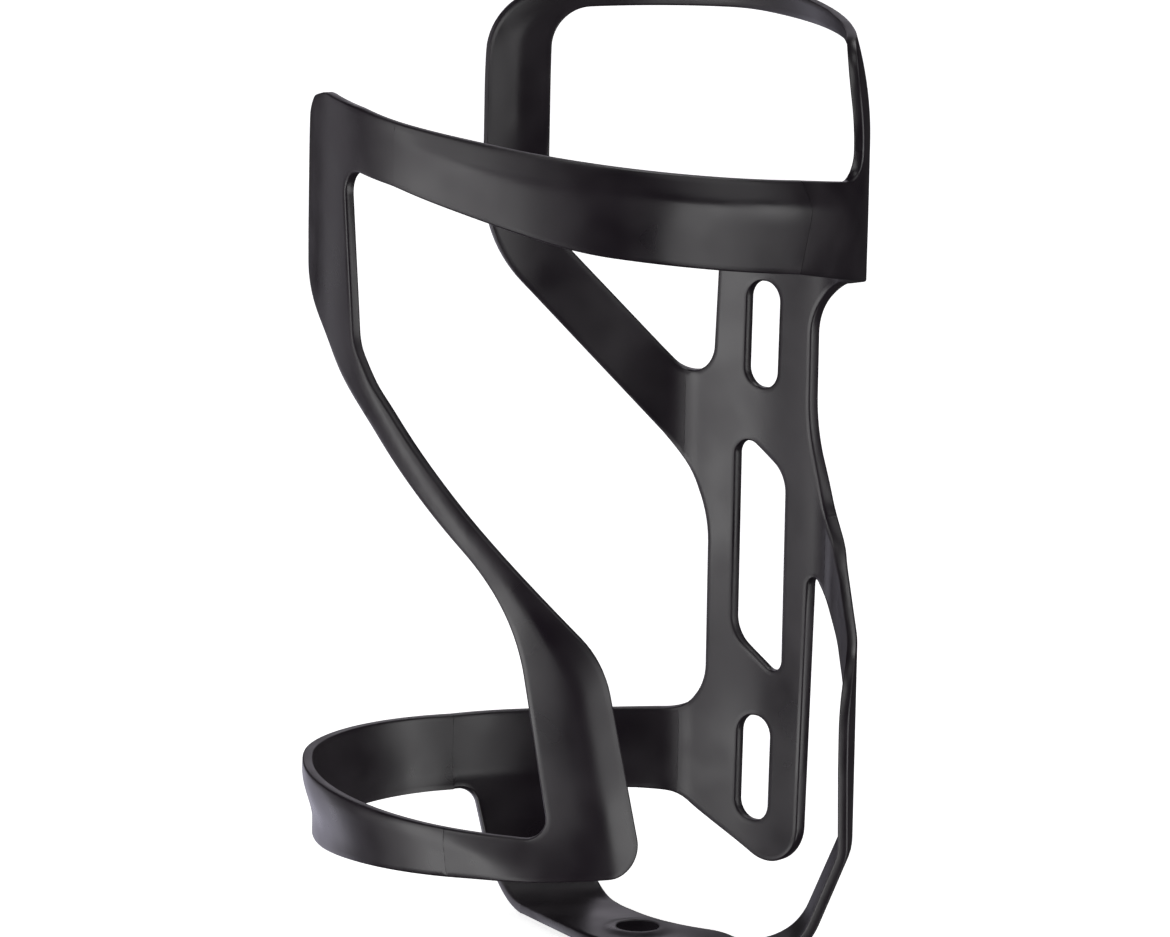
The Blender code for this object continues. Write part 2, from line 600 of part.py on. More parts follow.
def build_frame():
    sheet = frame_sheet()
    dark = (0.034, 0.033, 0.035)
    left = ((-SPINE_SEAM, 0), (1, 0))
    right = ((SPINE_SEAM, 0), (-1, 0))
    arm = (-BEND_END, (ARM_LOW + ARM_HIGH) / 2 + (BEND_END - SPINE_WIDTH / 2) * ARM_SLOPE)
    rail_mid = ((RAIL_CROTCH + RAIL_LOW) / 2 + RAIL_HIGH) / 2
    strap_mid = (FOOT_SEAM + PROFILE_END) / 2
    cut_piece(
        "spine_plate",
        sheet,
        [((-SPINE_SEAM, 0), (-1, 0)), ((SPINE_SEAM, 0), (1, 0))],
        (0, SLOT_PITCH / 3),
        wrap_frame,
        ROUND_START,
        (0.040, 0.039, 0.041),
    )
    post = ((0, LEFT_POST_SEAM), (0, 1))
    cut_piece("upper_arm", sheet, [left, post], arm, wrap_frame, ROUND_START, dark)
    rear = ((-LOWER_REAR_SEAM, 0), (-1, 0))
    strap = ((0, FOOT_SEAM), (0, -1))
    plate = ((0, PROFILE_END), (0, -1))
    below = ((0, FOOT_SEAM), (0, 1))
    cut_piece(
        "lower_band_rear",
        sheet,
        [left, rear, strap],
        (-BEND_END, (LOWER_REAR_HIGH + LOWER_REAR_LOW) / 2),
        wrap_frame,
        ROUND_START,
        dark,
        True,
    )
    cut_piece(
        "foot_strap",
        sheet,
        [left, below, plate],
        (-(STRAP_OUTER + STRAP_INNER) / 2, strap_mid),
        wrap_frame,
        ROUND_START,
        dark,
        True,
    )
    seam = ((along(BAND_SEAM), 0), (1, 0))
    stub = ((0, RIGHT_POST_SEAM), (0, 1))
    cut_piece("upper_band_root", sheet, [right, seam, stub], (BEND_END, SPINE_TOP), wrap_frame, ROUND_START, dark)
    rail = ((0, RAIL_SEAM), (0, -1))
    cut_piece("rail_arm", sheet, [right, rail], (BEND_END, rail_mid), wrap_frame, ROUND_START, dark)
    under = ((0, RAIL_SEAM), (0, 1))
    cut_piece(
        "rail_upright",
        sheet,
        [right, under, strap],
        ((RAIL_INNER + RAIL_OUTER) / 2, (RAIL_SEAM + FOOT_SEAM) / 2),
        wrap_frame,
        ROUND_START,
        dark,
        True,
    )
    cut_piece(
        "foot_riser",
        sheet,
        [right, below, plate],
        ((RISER_INNER + RISER_OUTER) / 2, strap_mid),
        wrap_frame,
        ROUND_START,
        dark,
        True,
    )


def build_front():
    sheet = front_sheet()
    tone = (0.037, 0.036, 0.038)
    start = front_arc(BAND_SEAM)
    low = front_arc(LOWER_SEAM)
    side = front_arc(SIDE_SEAM)
    rear = front_arc(REAR_SEAM)
    ear = EAR_INNER - EAR_BAND
    strut_high = (EAR_INNER - STRUT_SEAM_RUN, STRUT_HIGH - STRUT_SEAM_FALL)
    strut_low = (-PANEL_INNER + STRUT_SEAM_RUN, PANEL_NECK + PANEL_SEAM_RISE)
    slope = Vector((1.0, 1.0))
    cut_piece(
        "upper_band",
        sheet,
        [((start, 0), (-1, 0)), ((ear, 0), (1, 0))],
        (start / 2, (BAND_MID_LOW + BAND_SEAM_HIGH) / 2),
        wrap_front,
        None,
        tone,
    )
    cut_piece(
        "ear_panel",
        sheet,
        [((ear, 0), (-1, 0)), (strut_high, -slope)],
        ((EAR_INNER + EAR_OUTER) / 2, (EAR_SHOULDER + EAR_HEEL) / 2),
        wrap_front,
        None,
        tone,
    )
    cut_piece(
        "front_strut",
        sheet,
        [(strut_high, slope), (strut_low, -slope)],
        ((strut_high[0] + strut_low[0]) / 2, (strut_high[1] + strut_low[1]) / 2),
        wrap_front,
        None,
        tone,
    )
    cut_piece(
        "corner_panel",
        sheet,
        [(strut_low, slope), ((low, 0), (1, 0))],
        (-(PANEL_OUTER + PANEL_INNER) / 2, LOWER_HIGH),
        wrap_front,
        None,
        tone,
    )
    cut_piece(
        "lower_band_front",
        sheet,
        [((low, 0), (-1, 0)), ((side, 0), (1, 0))],
        ((low + side) / 2, (LOWER_HIGH + LOWER_FRONT_LOW) / 2),
        wrap_front,
        None,
        tone,
    )
    cut_piece(
        "lower_band_side",
        sheet,
        [((side, 0), (-1, 0)), ((rear, 0), (1, 0))],
        ((side + rear) / 2, (LOWER_REAR_HIGH + LOWER_REAR_LOW) / 2),
        wrap_front,
        None,
        tone,
    )


def build_hoop():
    sheet = hoop_sheet()
    tone = (0.031, 0.030, 0.033)
    end = HOOP_BAR_END * RADIUS
    reach = (POST_INNER + LEFT_POST_OUTER) * RADIUS / 2
    cut_piece(
        "hoop_left_post",
        sheet,
        [((0, LEFT_POST_SEAM), (0, -1)), ((-end, 0), (1, 0))],
        (-reach, (LEFT_POST_SEAM + HOOP_SHOULDER) / 2),
        wrap_hoop,
        None,
        tone,
    )
    cut_piece(
        "hoop_bar",
        sheet,
        [((-end, 0), (-1, 0)), ((end, 0), (1, 0))],
        (0, HOOP_TOP),
        wrap_hoop,
        None,
        tone,
    )
    cut_piece(
        "hoop_right_post",
        sheet,
        [((0, RIGHT_POST_SEAM), (0, -1)), ((end, 0), (-1, 0))],
        (reach, (RIGHT_POST_SEAM + HOOP_SHOULDER) / 2),
        wrap_hoop,
        None,
        tone,
    )


def build_foot():
    shape = bmesh.new()
    shape.from_mesh(foot_sheet())
    bmesh.ops.remove_doubles(shape, verts=shape.verts[:], dist=1e-7)
    finish("foot_plate", shape, wrap_foot, (0.029, 0.028, 0.030))


for old in list(bpy.data.objects):
    bpy.data.objects.remove(old)
cage = bpy.data.collections.new("bottle_cage")
bpy.context.scene.collection.children.link(cage)
build_frame()
build_front()
build_hoop()
build_foot()
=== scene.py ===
import json
import math
from collections import namedtuple

import bmesh
import bpy
import numpy as np
from mathutils import Matrix, Vector
from mathutils.geometry import delaunay_2d_cdt

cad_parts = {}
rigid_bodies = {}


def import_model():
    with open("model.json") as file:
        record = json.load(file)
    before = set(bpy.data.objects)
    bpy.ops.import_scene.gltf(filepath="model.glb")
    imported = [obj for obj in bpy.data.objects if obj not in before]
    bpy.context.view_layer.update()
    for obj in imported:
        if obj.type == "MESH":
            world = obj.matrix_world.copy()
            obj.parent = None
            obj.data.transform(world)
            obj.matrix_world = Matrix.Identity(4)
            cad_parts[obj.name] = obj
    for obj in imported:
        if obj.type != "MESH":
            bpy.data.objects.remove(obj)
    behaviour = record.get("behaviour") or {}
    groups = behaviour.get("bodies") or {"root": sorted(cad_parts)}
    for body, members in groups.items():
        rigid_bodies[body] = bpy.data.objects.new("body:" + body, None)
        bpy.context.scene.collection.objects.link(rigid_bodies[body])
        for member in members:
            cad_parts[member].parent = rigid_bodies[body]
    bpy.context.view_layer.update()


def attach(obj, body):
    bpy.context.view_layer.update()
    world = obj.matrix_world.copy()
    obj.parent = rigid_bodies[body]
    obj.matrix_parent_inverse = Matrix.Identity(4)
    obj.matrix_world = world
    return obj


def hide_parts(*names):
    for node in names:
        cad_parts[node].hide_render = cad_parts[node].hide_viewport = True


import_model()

bl_info = {
    "name": "Bottle Cage",
    "version": (1, 0, 0),
    "blender": (4, 5, 0),
    "location": "View3D > Sidebar > Bottle Cage",
    "description": "Models a side-entry water bottle cage in satin moulded carbon, with its studio",
    "category": "Object",
}

MM = 0.001
BODY = "root"

# Joints across the front strip and the hoop's bar, in degrees round the bottle
BAND_SEAM = 90.0
PANEL_SEAM = 170.0
SIDE_SEAM = 232.0
BAR_SEAM = 30.0
SIDE_ANGLE = math.radians(SIDE_SEAM)

# Joints by their place along the flat sheets, across or up
SPINE_SEAM = 13.5 * MM
LOWER_REAR_SEAM = 48.0 * MM
EAR_SEAM = 3.2 * MM
STRUT_TOP_SEAM = 7.2 * MM, 32.0 * MM
STRUT_FOOT_SEAM = -16.0 * MM, 9.3 * MM
LEFT_POST_SEAM = 52.5 * MM
RIGHT_POST_SEAM = 66.0 * MM
RAIL_SEAM = -17.0 * MM
FOOT_SEAM = -41.5 * MM

# Edges of the hoop's posts and a place between them, in degrees round the bottle, and the hoop's lean
LEFT_POST_OUTER = 61.6
RIGHT_POST_OUTER = 65.3
POST_MIDDLE = 54.0
POST_INNER = 47.2
HOOP_LEAN_START = 66.0 * MM
HOOP_LEAN = 10.0

# Edges of the bands where two sheets meet and the run of a sheet past such a joint, in millimetres
BAND_TOP = 64.2
BAND_FOOT = 51.2
LOWER_TOP = -25.2
LOWER_FOOT = -36.3
RUN_ON = 15.0

# Lean of the lower band towards the bottle: where it starts, and its end in radians past the side's joint
LOWER_HIGH = -25.0 * MM
LOWER_WAIST = 7.0 * MM
LOWER_TUCK = 1.5 * MM
TUCK_LIMIT = 1.2
LEAN_START = -22.0 * MM
LEAN_RISE = 13.0 * MM
LEAN_END = 1.05
LEAN_FADE = LEAN_END / 1.3
WAIST_RISE = 30.0 * MM

# Foot below the bottle: the profile of its straps, from the band down to the plate
FOOT_BEND = -34.5 * MM
FOOT_HEIGHT = -51.47 * MM
FOOT_INSET = 6.6 * MM
FOOT_UPPER_RADIUS = 5.0 * MM
FOOT_LOWER_RADIUS = 10.0 * MM
FOOT_SLOPE = math.atan2(FOOT_INSET, FOOT_BEND - FOOT_HEIGHT)
UPPER_REACH = FOOT_UPPER_RADIUS * math.tan(FOOT_SLOPE / 2)
LOWER_REACH = FOOT_LOWER_RADIUS * math.tan((math.pi / 2 - FOOT_SLOPE) / 2)
FOOT_RUN = math.hypot(FOOT_INSET, FOOT_BEND - FOOT_HEIGHT) - UPPER_REACH - LOWER_REACH
PROFILE_START = FOOT_BEND + UPPER_REACH
PROFILE_RUN = PROFILE_START - FOOT_UPPER_RADIUS * FOOT_SLOPE
PROFILE_TURN = PROFILE_RUN - FOOT_RUN
PROFILE_END = PROFILE_TURN - FOOT_LOWER_RADIUS * (math.pi / 2 - FOOT_SLOPE)
STRAP_INNER = 24.5 * MM
PLATE_BLEND = 6.0 * MM

# Hole of the foot, with the lip round it
FOOT_HOLE = 2.95 * MM
FOOT_HOLE_BACK = 14.4 * MM
FOOT_LIP = 0.32 * MM
LIP_REACH = 2.8 * MM
LIP_RISE = 2.4 * MM
BORE_MARGIN = 0.15 * MM

# Far and near edge of each strap: flat place and height of its last bend, flat place at the plate
StrapEdge = namedtuple("StrapEdge", "bend height end")
STRAPS = (
    (StrapEdge(-27.6 * MM, -48.0 * MM, -25.0 * MM), StrapEdge(-43.8 * MM, -44.0 * MM, -41.2 * MM)),
    (StrapEdge(31.4 * MM, -50.0 * MM, 29.8 * MM), StrapEdge(46.9 * MM, -22.0 * MM, 43.0 * MM)),
)

# Crowns of the members: slopes from the first and the second crowned edge of a sheet, plateau and easing
BAND_CROWN = 0.55, 0.22, 1.8 * MM, 0.4 * MM
PANEL_CROWN = 0.20, 0.30, 1.25 * MM, 0.4 * MM
STRUT_CROWN = 0.18, 0.34, 0.8 * MM, 0.5 * MM
LOWER_CROWN = 0.45, 0.34, 0.4 * MM, 0.3 * MM
POST_CROWN = 0.24, 0.24, 1.1 * MM, 0.5 * MM
POST_LIFT = 1.0 * MM
SPINE_TROUGH = 0.7 * MM
RIDGE_EASE = 0.3 * MM
EAR_FLATNESS = 0.97
HEEL_FLATNESS = 0.9

# Faces of the flat sheets: arcs, rings along a rim (how far in and how far down, in rims) and rows
ARC_TURN = math.radians(6.0)
ARC_LENGTH = 1.2 * MM
ARC_SHARE = 0.85
RIM_RINGS = (0.0, 1.0), (0.293, 0.293), (1.0, 0.0), (3.0, 0.0)
RIM_STEP = 0.9 * MM
ROW_PITCH = 0.866
SHARP_EDGE = math.radians(50.0)

# Camera, and the middle of what the soft boxes face
CAMERA_PLACE = (729.037 * MM, -961.722 * MM, 268.103 * MM)
CAMERA_AZIMUTH = 38.4
CAMERA_ELEVATION = 12.0
CAMERA_ROLL = 1.0708
CAMERA_FOCUS = 8563.2  # focal length in pixels, for an image of the width below
IMAGE_WIDTH = 1170.0
SENSOR_WIDTH = 36.0
STUDIO_MIDDLE = (0.0, -42.0 * MM, 15.0 * MM)
FLOOR_HEIGHT = -53.5 * MM

Crown = namedtuple("Crown", "slopes cap ease fade swell lift", defaults=(0.0, 0.0, 0.0, 0.0, 0.0))
Sheet = namedtuple("Sheet", "name outline wrap crown")
BLANKS = {}


class CageSizes(bpy.types.PropertyGroup):
    """Sizes of the cage that its maker would change."""

    bottle_radius: bpy.props.FloatProperty(
        name="Bottle radius",
        description="Inside face of the bands",
        default=37.45 * MM,
        unit="LENGTH",
    )
    wall: bpy.props.FloatProperty(
        name="Wall",
        description="Thickness of the laminate",
        default=1.5 * MM,
        unit="LENGTH",
    )
    rim: bpy.props.FloatProperty(
        name="Rim",
        description="Rounding of every edge",
        default=0.3 * MM,
        unit="LENGTH",
    )
    standoff: bpy.props.FloatProperty(
        name="Spine stand-off",
        description="Bottle to the front of the spine",
        default=3.25 * MM,
        unit="LENGTH",
    )
    spine_flat: bpy.props.FloatProperty(
        name="Spine flat",
        description="Half width of the flat behind the bottle",
        default=10.5 * MM,
        unit="LENGTH",
    )
    bend_radius: bpy.props.FloatProperty(
        name="Spine bend",
        description="Bend from the spine into its side members",
        default=8.0 * MM,
        unit="LENGTH",
    )
    grid: bpy.props.FloatProperty(
        name="Grid",
        description="Size of the faces that the sheets are made of",
        default=0.8 * MM,
        unit="LENGTH",
    )
    hidden_joint: bpy.props.FloatProperty(
        name="Flush joint",
        description="Gap at a joint that is filled and rubbed down",
        default=0.004 * MM,
        unit="LENGTH",
    )
    open_joint: bpy.props.FloatProperty(
        name="Visible joint",
        description="Gap at a joint that shows as a line",
        default=0.07 * MM,
        unit="LENGTH",
    )


class CageColours(bpy.types.PropertyGroup):
    """Colours of the laminate and the studio."""

    laminate: bpy.props.FloatVectorProperty(
        name="Laminate",
        description="Base colour of the carbon",
        default=(0.0071, 0.0045, 0.0077),
        subtype="COLOR",
    )
    mottle: bpy.props.FloatVectorProperty(
        name="Mottle",
        description="Colour of the paler patches",
        default=(0.0188, 0.0147, 0.0192),
        subtype="COLOR",
    )
    floor: bpy.props.FloatVectorProperty(
        name="Floor",
        description="Colour of the studio floor",
        default=(0.92, 0.92, 0.92),
        subtype="COLOR",
    )


def sizes():
    return bpy.context.scene.cage_sizes


def colours():
    return bpy.context.scene.cage_colours


class Section:
    """Plan of the wall behind and round the bottle."""

    def __init__(self):
        size = sizes()
        self.radius = size.bottle_radius + size.wall / 2
        self.reach = size.bottle_radius + size.standoff + size.wall / 2
        self.axis_y = -(self.reach + size.wall / 2)
        self.flat = size.spine_flat
        self.bend = size.bend_radius
        depth = self.reach - self.bend
        self.tangent = math.atan2(self.flat, depth) + math.acos(
            (self.radius - self.bend) / math.hypot(self.flat, depth)
        )
        self.bend_end = self.flat + self.bend * self.tangent
        self.round_start = self.bend_end + depth * math.sin(self.tangent) - self.flat * math.cos(self.tangent)
        self.rear_seam = 2 * math.pi - self.tangent - (LOWER_REAR_SEAM - self.round_start) / self.radius

    def along(self, degrees):
        """Flat distance from the middle of the spine to an angle round the bottle."""
        return self.round_start + (math.radians(degrees) - self.tangent) * self.radius

    def arc(self, degrees):
        """Length of the round wall over an angle."""
        return math.radians(degrees) * self.radius

    def front(self, degrees):
        """Flat distance from the middle of the front to an angle round the bottle."""
        return self.arc(degrees - 180.0)

    def plan(self, flat):
        """Points and facing angles of the spine's section at these flat distances."""
        run = np.abs(flat)
        side = np.sign(flat)
        turn = np.clip((run - self.flat) / self.bend, 0.0, self.tangent)
        x = np.minimum(run, self.flat) + self.bend * np.sin(turn)
        y = self.reach - self.bend * (1 - np.cos(turn))
        straight = np.clip(run - self.bend_end, 0.0, self.round_start - self.bend_end)
        x += straight * math.cos(self.tangent)
        y -= straight * math.sin(self.tangent)
        round_angle = self.tangent + (run - self.round_start) / self.radius
        on_round = run > self.round_start
        x = np.where(on_round, self.radius * np.sin(round_angle), x)
        y = np.where(on_round, self.radius * np.cos(round_angle), y)
        facing = np.where(on_round, round_angle, turn)
        return side * x, y, side * facing


def smooth(share):
    """Eases a share between 0 and 1 in and out."""
    share = np.clip(share, 0.0, 1.0)
    return share * share * (3 - 2 * share)


def ramp(value, start, run):
    """Smooth rise from 0 at the start to 1 at the end of the run, which is negative for a rise downwards."""
    return smooth((value - start) / run)


def strap_profile(height):
    """How far in, at what height and at what tilt a strap runs, going down its length."""
    upper = np.clip((PROFILE_START - height) / FOOT_UPPER_RADIUS, 0.0, FOOT_SLOPE)
    run = np.clip(PROFILE_RUN - height, 0.0, FOOT_RUN)
    lower = np.clip((PROFILE_TURN - height) / FOOT_LOWER_RADIUS, 0.0, math.pi / 2 - FOOT_SLOPE) + FOOT_SLOPE
    level = np.maximum(height, PROFILE_START) - FOOT_UPPER_RADIUS * np.sin(upper)
    level -= run * math.cos(FOOT_SLOPE)
    level -= FOOT_LOWER_RADIUS * (np.sin(lower) - math.sin(FOOT_SLOPE))
    inward = FOOT_UPPER_RADIUS * (1 - np.cos(upper)) + run * math.sin(FOOT_SLOPE)
    inward += FOOT_LOWER_RADIUS * (math.cos(FOOT_SLOPE) - np.cos(lower))
    tilt = np.where(lower > FOOT_SLOPE + 1e-9, lower, upper)
    return inward, level, tilt


def wrap_frame(section, flat, height, out):
    """Spine and its members, following the strap's profile outside the spine."""
    x, y, facing = section.plan(flat)
    share = ramp(np.abs(flat), SPINE_SEAM, STRAP_INNER - SPINE_SEAM)
    inward, level, tilt = strap_profile(height)
    inward = inward * share
    tilt = tilt * share
    level = height + (level - height) * share
    reach = out * np.cos(tilt) - inward
    return np.stack(
        [
            x + reach * np.sin(facing),
            section.axis_y + y + reach * np.cos(facing),
            level - out * np.sin(tilt),
        ],
        1,
    )


def wrap_round(section, angle, height, reach):
    return np.stack([reach * np.sin(angle), section.axis_y + reach * np.cos(angle), height], 1)


def wrap_front(section, flat, height, out):
    """Front strip round the bottle, its lower band leaning in and meeting the strap's profile behind."""
    angle = math.pi + flat / section.radius
    below = np.maximum(LOWER_HIGH - height, 0.0) / LOWER_WAIST
    lean = ramp(flat, LEAN_START, LEAN_RISE) * ramp(angle, SIDE_ANGLE + LEAN_END, -LEAN_FADE)
    waist = ramp(flat, 0.0, WAIST_RISE)
    tuck = waist * smooth(below) + (1 - waist) * np.minimum(below, TUCK_LIMIT)
    rear = ramp(angle, SIDE_ANGLE, section.rear_seam - SIDE_ANGLE) * (height < LOWER_HIGH)
    inward, level, _ = strap_profile(height)
    inward = rear * inward + LOWER_TUCK * lean * tuck
    return wrap_round(section, angle, height + rear * (level - height), section.radius + out - inward)


def wrap_hoop(section, flat, height, out):
    """Hoop above the bands, leaning in towards its top."""
    lean = HOOP_LEAN * np.maximum(0.0, height - HOOP_LEAN_START) ** 2
    return wrap_round(section, flat / section.radius, height, section.radius + out - lean)


def strap_end(section, strap):
    """End of a strap at the plate: points along it, its chord and the chord's outward direction."""
    far, near = strap[0].end, strap[1].end
    flat = np.linspace(far, near, 25)
    points = wrap_frame(section, flat, np.full_like(flat, PROFILE_END), np.zeros_like(flat))[:, :2]
    chord = (points[-1] - points[0]) / np.linalg.norm(points[-1] - points[0])
    outward = np.array((-chord[1], chord[0])) * np.sign(far)
    return points, chord, outward


def wrap_foot(section, across, deep, out):
    """Level plate, drawn out to the curved ends of the straps."""
    place = np.stack([across, deep], 1)
    for strap in STRAPS:
        points, chord, outward = strap_end(section, strap)
        along = (place - points[0]) @ chord
        depth = -(place - points[0]) @ outward
        bulge = np.interp(along, (points - points[0]) @ chord, (points - points[0]) @ outward)
        place = place + (bulge * (1 - ramp(depth, 0.0, PLATE_BLEND)))[:, None] * outward
    return np.stack([place[:, 0], place[:, 1], FOOT_HEIGHT - out], 1)


def arcs(corners):
    """Outline through the corners (across, up, radius), as one list of points for each corner's arc."""
    turns = []
    for i, (across, up, radius) in enumerate(corners):
        corner = Vector((across, up))
        before = Vector(corners[i - 1][:2]) - corner
        after = Vector(corners[(i + 1) % len(corners)][:2]) - corner
        turn = math.pi - before.angle(after)
        if radius == 0 or turn < 1e-4:
            turns.append([corner])
            continue
        reach = min(radius * math.tan(turn / 2), ARC_SHARE * before.length, ARC_SHARE * after.length)
        radius = reach / math.tan(turn / 2)
        inward = (before.normalized() + after.normalized()).normalized()
        middle = corner + inward * (radius / math.cos(turn / 2))
        spoke = corner + before.normalized() * reach - middle
        side = math.copysign(1.0, before.cross(after))
        count = max(3, math.ceil(turn / ARC_TURN), math.ceil(radius * turn / ARC_LENGTH))
        angles = [-side * turn * k / count for k in range(count + 1)]
        turns.append([middle + Matrix.Rotation(angle, 2) @ spoke for angle in angles])
    return turns


def joined(turns):
    return [point for turn in turns for point in turn]


def area(points):
    return sum(a.cross(b) for a, b in zip(points, points[1:] + points[:1])) / 2


def mm(corners):
    """Corners given in millimetres, in metres."""
    return [(across * MM, up * MM, radius * MM) for across, up, radius in corners]


def strap_lean(edge):
    """How far an edge of a strap moves along the section for each length that it runs to the plate."""
    return (edge.end - edge.bend) / (edge.height - PROFILE_END)


def strap_corners(edge):
    """The edge's last bend and its end, run on past the plate, in millimetres."""
    over = 1.0 * MM
    end = edge.end + strap_lean(edge) * over
    return (edge.bend / MM, edge.height / MM), (end / MM, (PROFILE_END - over) / MM)


def frame_outline(section):
    """Spine with the roots of every member that leaves it, flat."""
    half = 8.8
    slope = 1.06
    root_top = 60.0
    left_post = section.along(LEFT_POST_OUTER) / MM
    right_post = section.along(RIGHT_POST_OUTER) / MM
    inner = section.along(POST_INNER) / MM
    seam = section.along(BAND_SEAM) / MM
    rear = LOWER_REAR_SEAM / MM
    arm_top = 19.1 + (inner - half) * slope
    arm_foot = 7.0 + (left_post - half) * slope
    rise = (BAND_TOP - root_top) / (seam - inner)
    left_far, left_near = [strap_corners(edge) for edge in STRAPS[0]]
    right_far, right_near = [strap_corners(edge) for edge in STRAPS[1]]
    outline = [
        (seam + RUN_ON, 66.2, 0),
        (seam, BAND_TOP, 40),
        (right_post, BAND_TOP - (seam - right_post) * rise, 3),
        (right_post, 72, 0),
        (inner - 0.2, 72, 0),
        (inner - 2.2, root_top, 4),
        (-half + 1.1, 46.8, 5),
        (-half + 0.1, 19.3, 4.2),
        (-inner, arm_top, 12),
        (-inner, 62, 0),
        (-left_post, 62, 0),
        (-left_post, arm_foot, 22),
        (-half, 7.0, 17),
        (-half + 0.1, LOWER_TOP, 7.3),
        (-rear - RUN_ON, LOWER_TOP, 0),
        (-rear - RUN_ON, -35.4, 0),
        (-rear, LOWER_FOOT, 30),
        (-44.6, LOWER_FOOT, 2.5),
        (*left_near[0], 8),
        (*left_near[1], 0),
        (*left_far[1], 0),
        (*left_far[0], 16),
        (-27.2, -36.8, 4),
        (-13.5, -37.7, 10),
        (half - 0.3, -49.2, 6),
        (half + 0.9, -0.4, 1.2),
        (half + 7.2, -7.0, 6),
        (34.2, -14.0, 5),
        (*right_far[0], 12),
        (*right_far[1], 0),
        (*right_near[1], 0),
        (*right_near[0], 20),
        (47.3, -8.6, 11),
        (half + 5.7, 3.3, 14),
        (half + 0.45, 19.5, 30),
        (half + 0.4, 40.3, 8.5),
        (seam, BAND_FOOT, 60),
        (seam + RUN_ON, 53.6, 0),
    ]
    slot = [(-2.95, -7.8, 2.75), (2.75, -7.8, 2.75), (3.0, 7.8, 2.75), (-2.75, 7.8, 2.75)]
    window = [(-4.2, 18.1, 2.2), (4.8, 12.1, 5), (4.8, -18.6, 1.8), (-4.2, -12.6, 5)]
    holes = [mm((x, z + middle, r) for x, z, r in slot) for middle in (32, -32)]
    return mm(outline), [*holes, mm(window)], ((slice(0, 6), ()), (slice(-3, None), ()))


def front_outline(section):
    """Upper band, ear, strut, corner panel and lower band, flat."""
    seam = section.front(BAND_SEAM) / MM
    rear = section.front(math.degrees(section.rear_seam)) / MM
    outline = [
        (seam - RUN_ON, 62.1, 0),
        (seam, BAND_TOP, 40),
        (3.0, 72.0, 30),
        (11.0, 73.05, 20),
        (21.0, 73.7, 8),
        (27.0, 72.3, 8),
        (36.5, 66.2, 9),
        (36.5, 49.5, 8),
        (19.7, 40.4, 20),
        (-16.0, 7.1, 30),
        (-21.8, -25.7, 3),
        (section.front(SIDE_SEAM) / MM + 2, -23.2, 45),
        (rear, LOWER_TOP, 30),
        (rear + RUN_ON, LOWER_TOP, 0),
        (rear + RUN_ON, -36.4, 0),
        (rear, LOWER_FOOT, 30),
        (22, -34.0, 50),
        (-35.2, -30.4, 4.5),
        (-29.0, -0.4, 15),
        (7.6, 35.0, 15),
        (11.2, 40.2, 7),
        (14.2, 64.6, 3.2),
        (3.7, 63.3, 20),
        (section.front(142.5) / MM, 56.1, 80),
        (seam, BAND_FOOT, 40),
        (seam - RUN_ON, 48.1, 0),
    ]
    below = Vector((-37.3, -40.3)) * MM
    return mm(outline), [], ((slice(0, 14), ()), (slice(18, None), (below,)))


def hoop_outline(section):
    """Two posts and the bar across the top, flat."""
    left = -section.arc(LEFT_POST_OUTER) / MM
    right = section.arc(RIGHT_POST_OUTER) / MM
    inner = section.arc(POST_INNER) / MM
    outline = [
        (left, 45, 0),
        (left, 80.2, 9),
        (0, 84.5, 80),
        (right, 80.2, 8),
        (right, 58, 0),
        (inner - 2.53, 58, 0),
        (inner - 0.2, 72, 12),
        (inner, 79.0, 4.6),
        (0, 79.9, 90),
        (-inner, 78.1, 6.0),
        (-inner, 45, 0),
    ]
    return mm(outline), [], ((slice(0, 5), ()), (slice(5, None), ()))


def foot_outline(section):
    """Plate below the bottle with its hole, running past the ends of the two straps that it is cut to."""

    def lead(edge, run, radius):
        flat = np.array([edge.end])
        x, y, _ = wrap_frame(section, flat, np.array([PROFILE_END]), np.zeros(1))[0]
        facing = section.plan(flat)[2][0]
        aside = run * strap_lean(edge)
        return (
            x + run * math.sin(facing) - aside * math.cos(facing),
            y + run * math.cos(facing) + aside * math.sin(facing),
            radius,
        )

    (left_far, left_near), (right_far, right_near) = STRAPS
    over, into, turn = 3 * MM, -2.5 * MM, 8 * MM
    outline = [
        lead(left_far, over, 0),
        lead(left_near, over, 0),
        lead(left_near, into, turn),
        (0.0, section.axis_y + 5 * MM, 14 * MM),
        lead(right_near, into, turn),
        lead(right_near, over, 0),
        lead(right_far, over, 0),
        lead(right_far, -1.2 * MM, 3 * MM),
        (10 * MM, section.axis_y + 21.4 * MM, 7 * MM),
        (1 * MM, section.axis_y + 19.4 * MM, 25 * MM),
        lead(left_far, into, turn),
    ]
    middle = section.axis_y + FOOT_HOLE_BACK
    half = FOOT_HOLE
    nearly_round = 0.98 * half
    corners = [(-half, -half), (half, -half), (half, half), (-half, half)]
    hole = [(x, middle + y, nearly_round) for x, y in corners]
    return outline, [hole], ()


def deselect():
    if bpy.context.mode != "OBJECT":
        bpy.ops.object.mode_set(mode="OBJECT")
    bpy.ops.object.select_all(action="DESELECT")


def pick(piece):
    deselect()
    piece.select_set(True)
    bpy.context.view_layer.objects.active = piece


def spaced(points, step):
    """The outline with its long edges divided, so that no edge is longer than the step."""
    spots = []
    for a, b in zip(points, points[1:] + points[:1]):
        count = max(1, math.ceil((b - a).length / step))
        spots.extend(a.lerp(b, k / count) for k in range(count))
    return spots


def inset(points, distance):
    """The outline moved to its left by a distance."""
    moved = []
    for i, point in enumerate(points):
        before = (point - points[i - 1]).normalized()
        after = (points[(i + 1) % len(points)] - point).normalized()
        left = Vector((-before.y - after.y, before.x + after.x)).normalized()
        moved.append(point + left * distance / max(0.5, left.dot(Vector((-before.y, before.x)))))
    return moved


def line(points):
    return np.array([(point.x, point.y) for point in points])


def closed(points):
    return line([*points, points[0]])


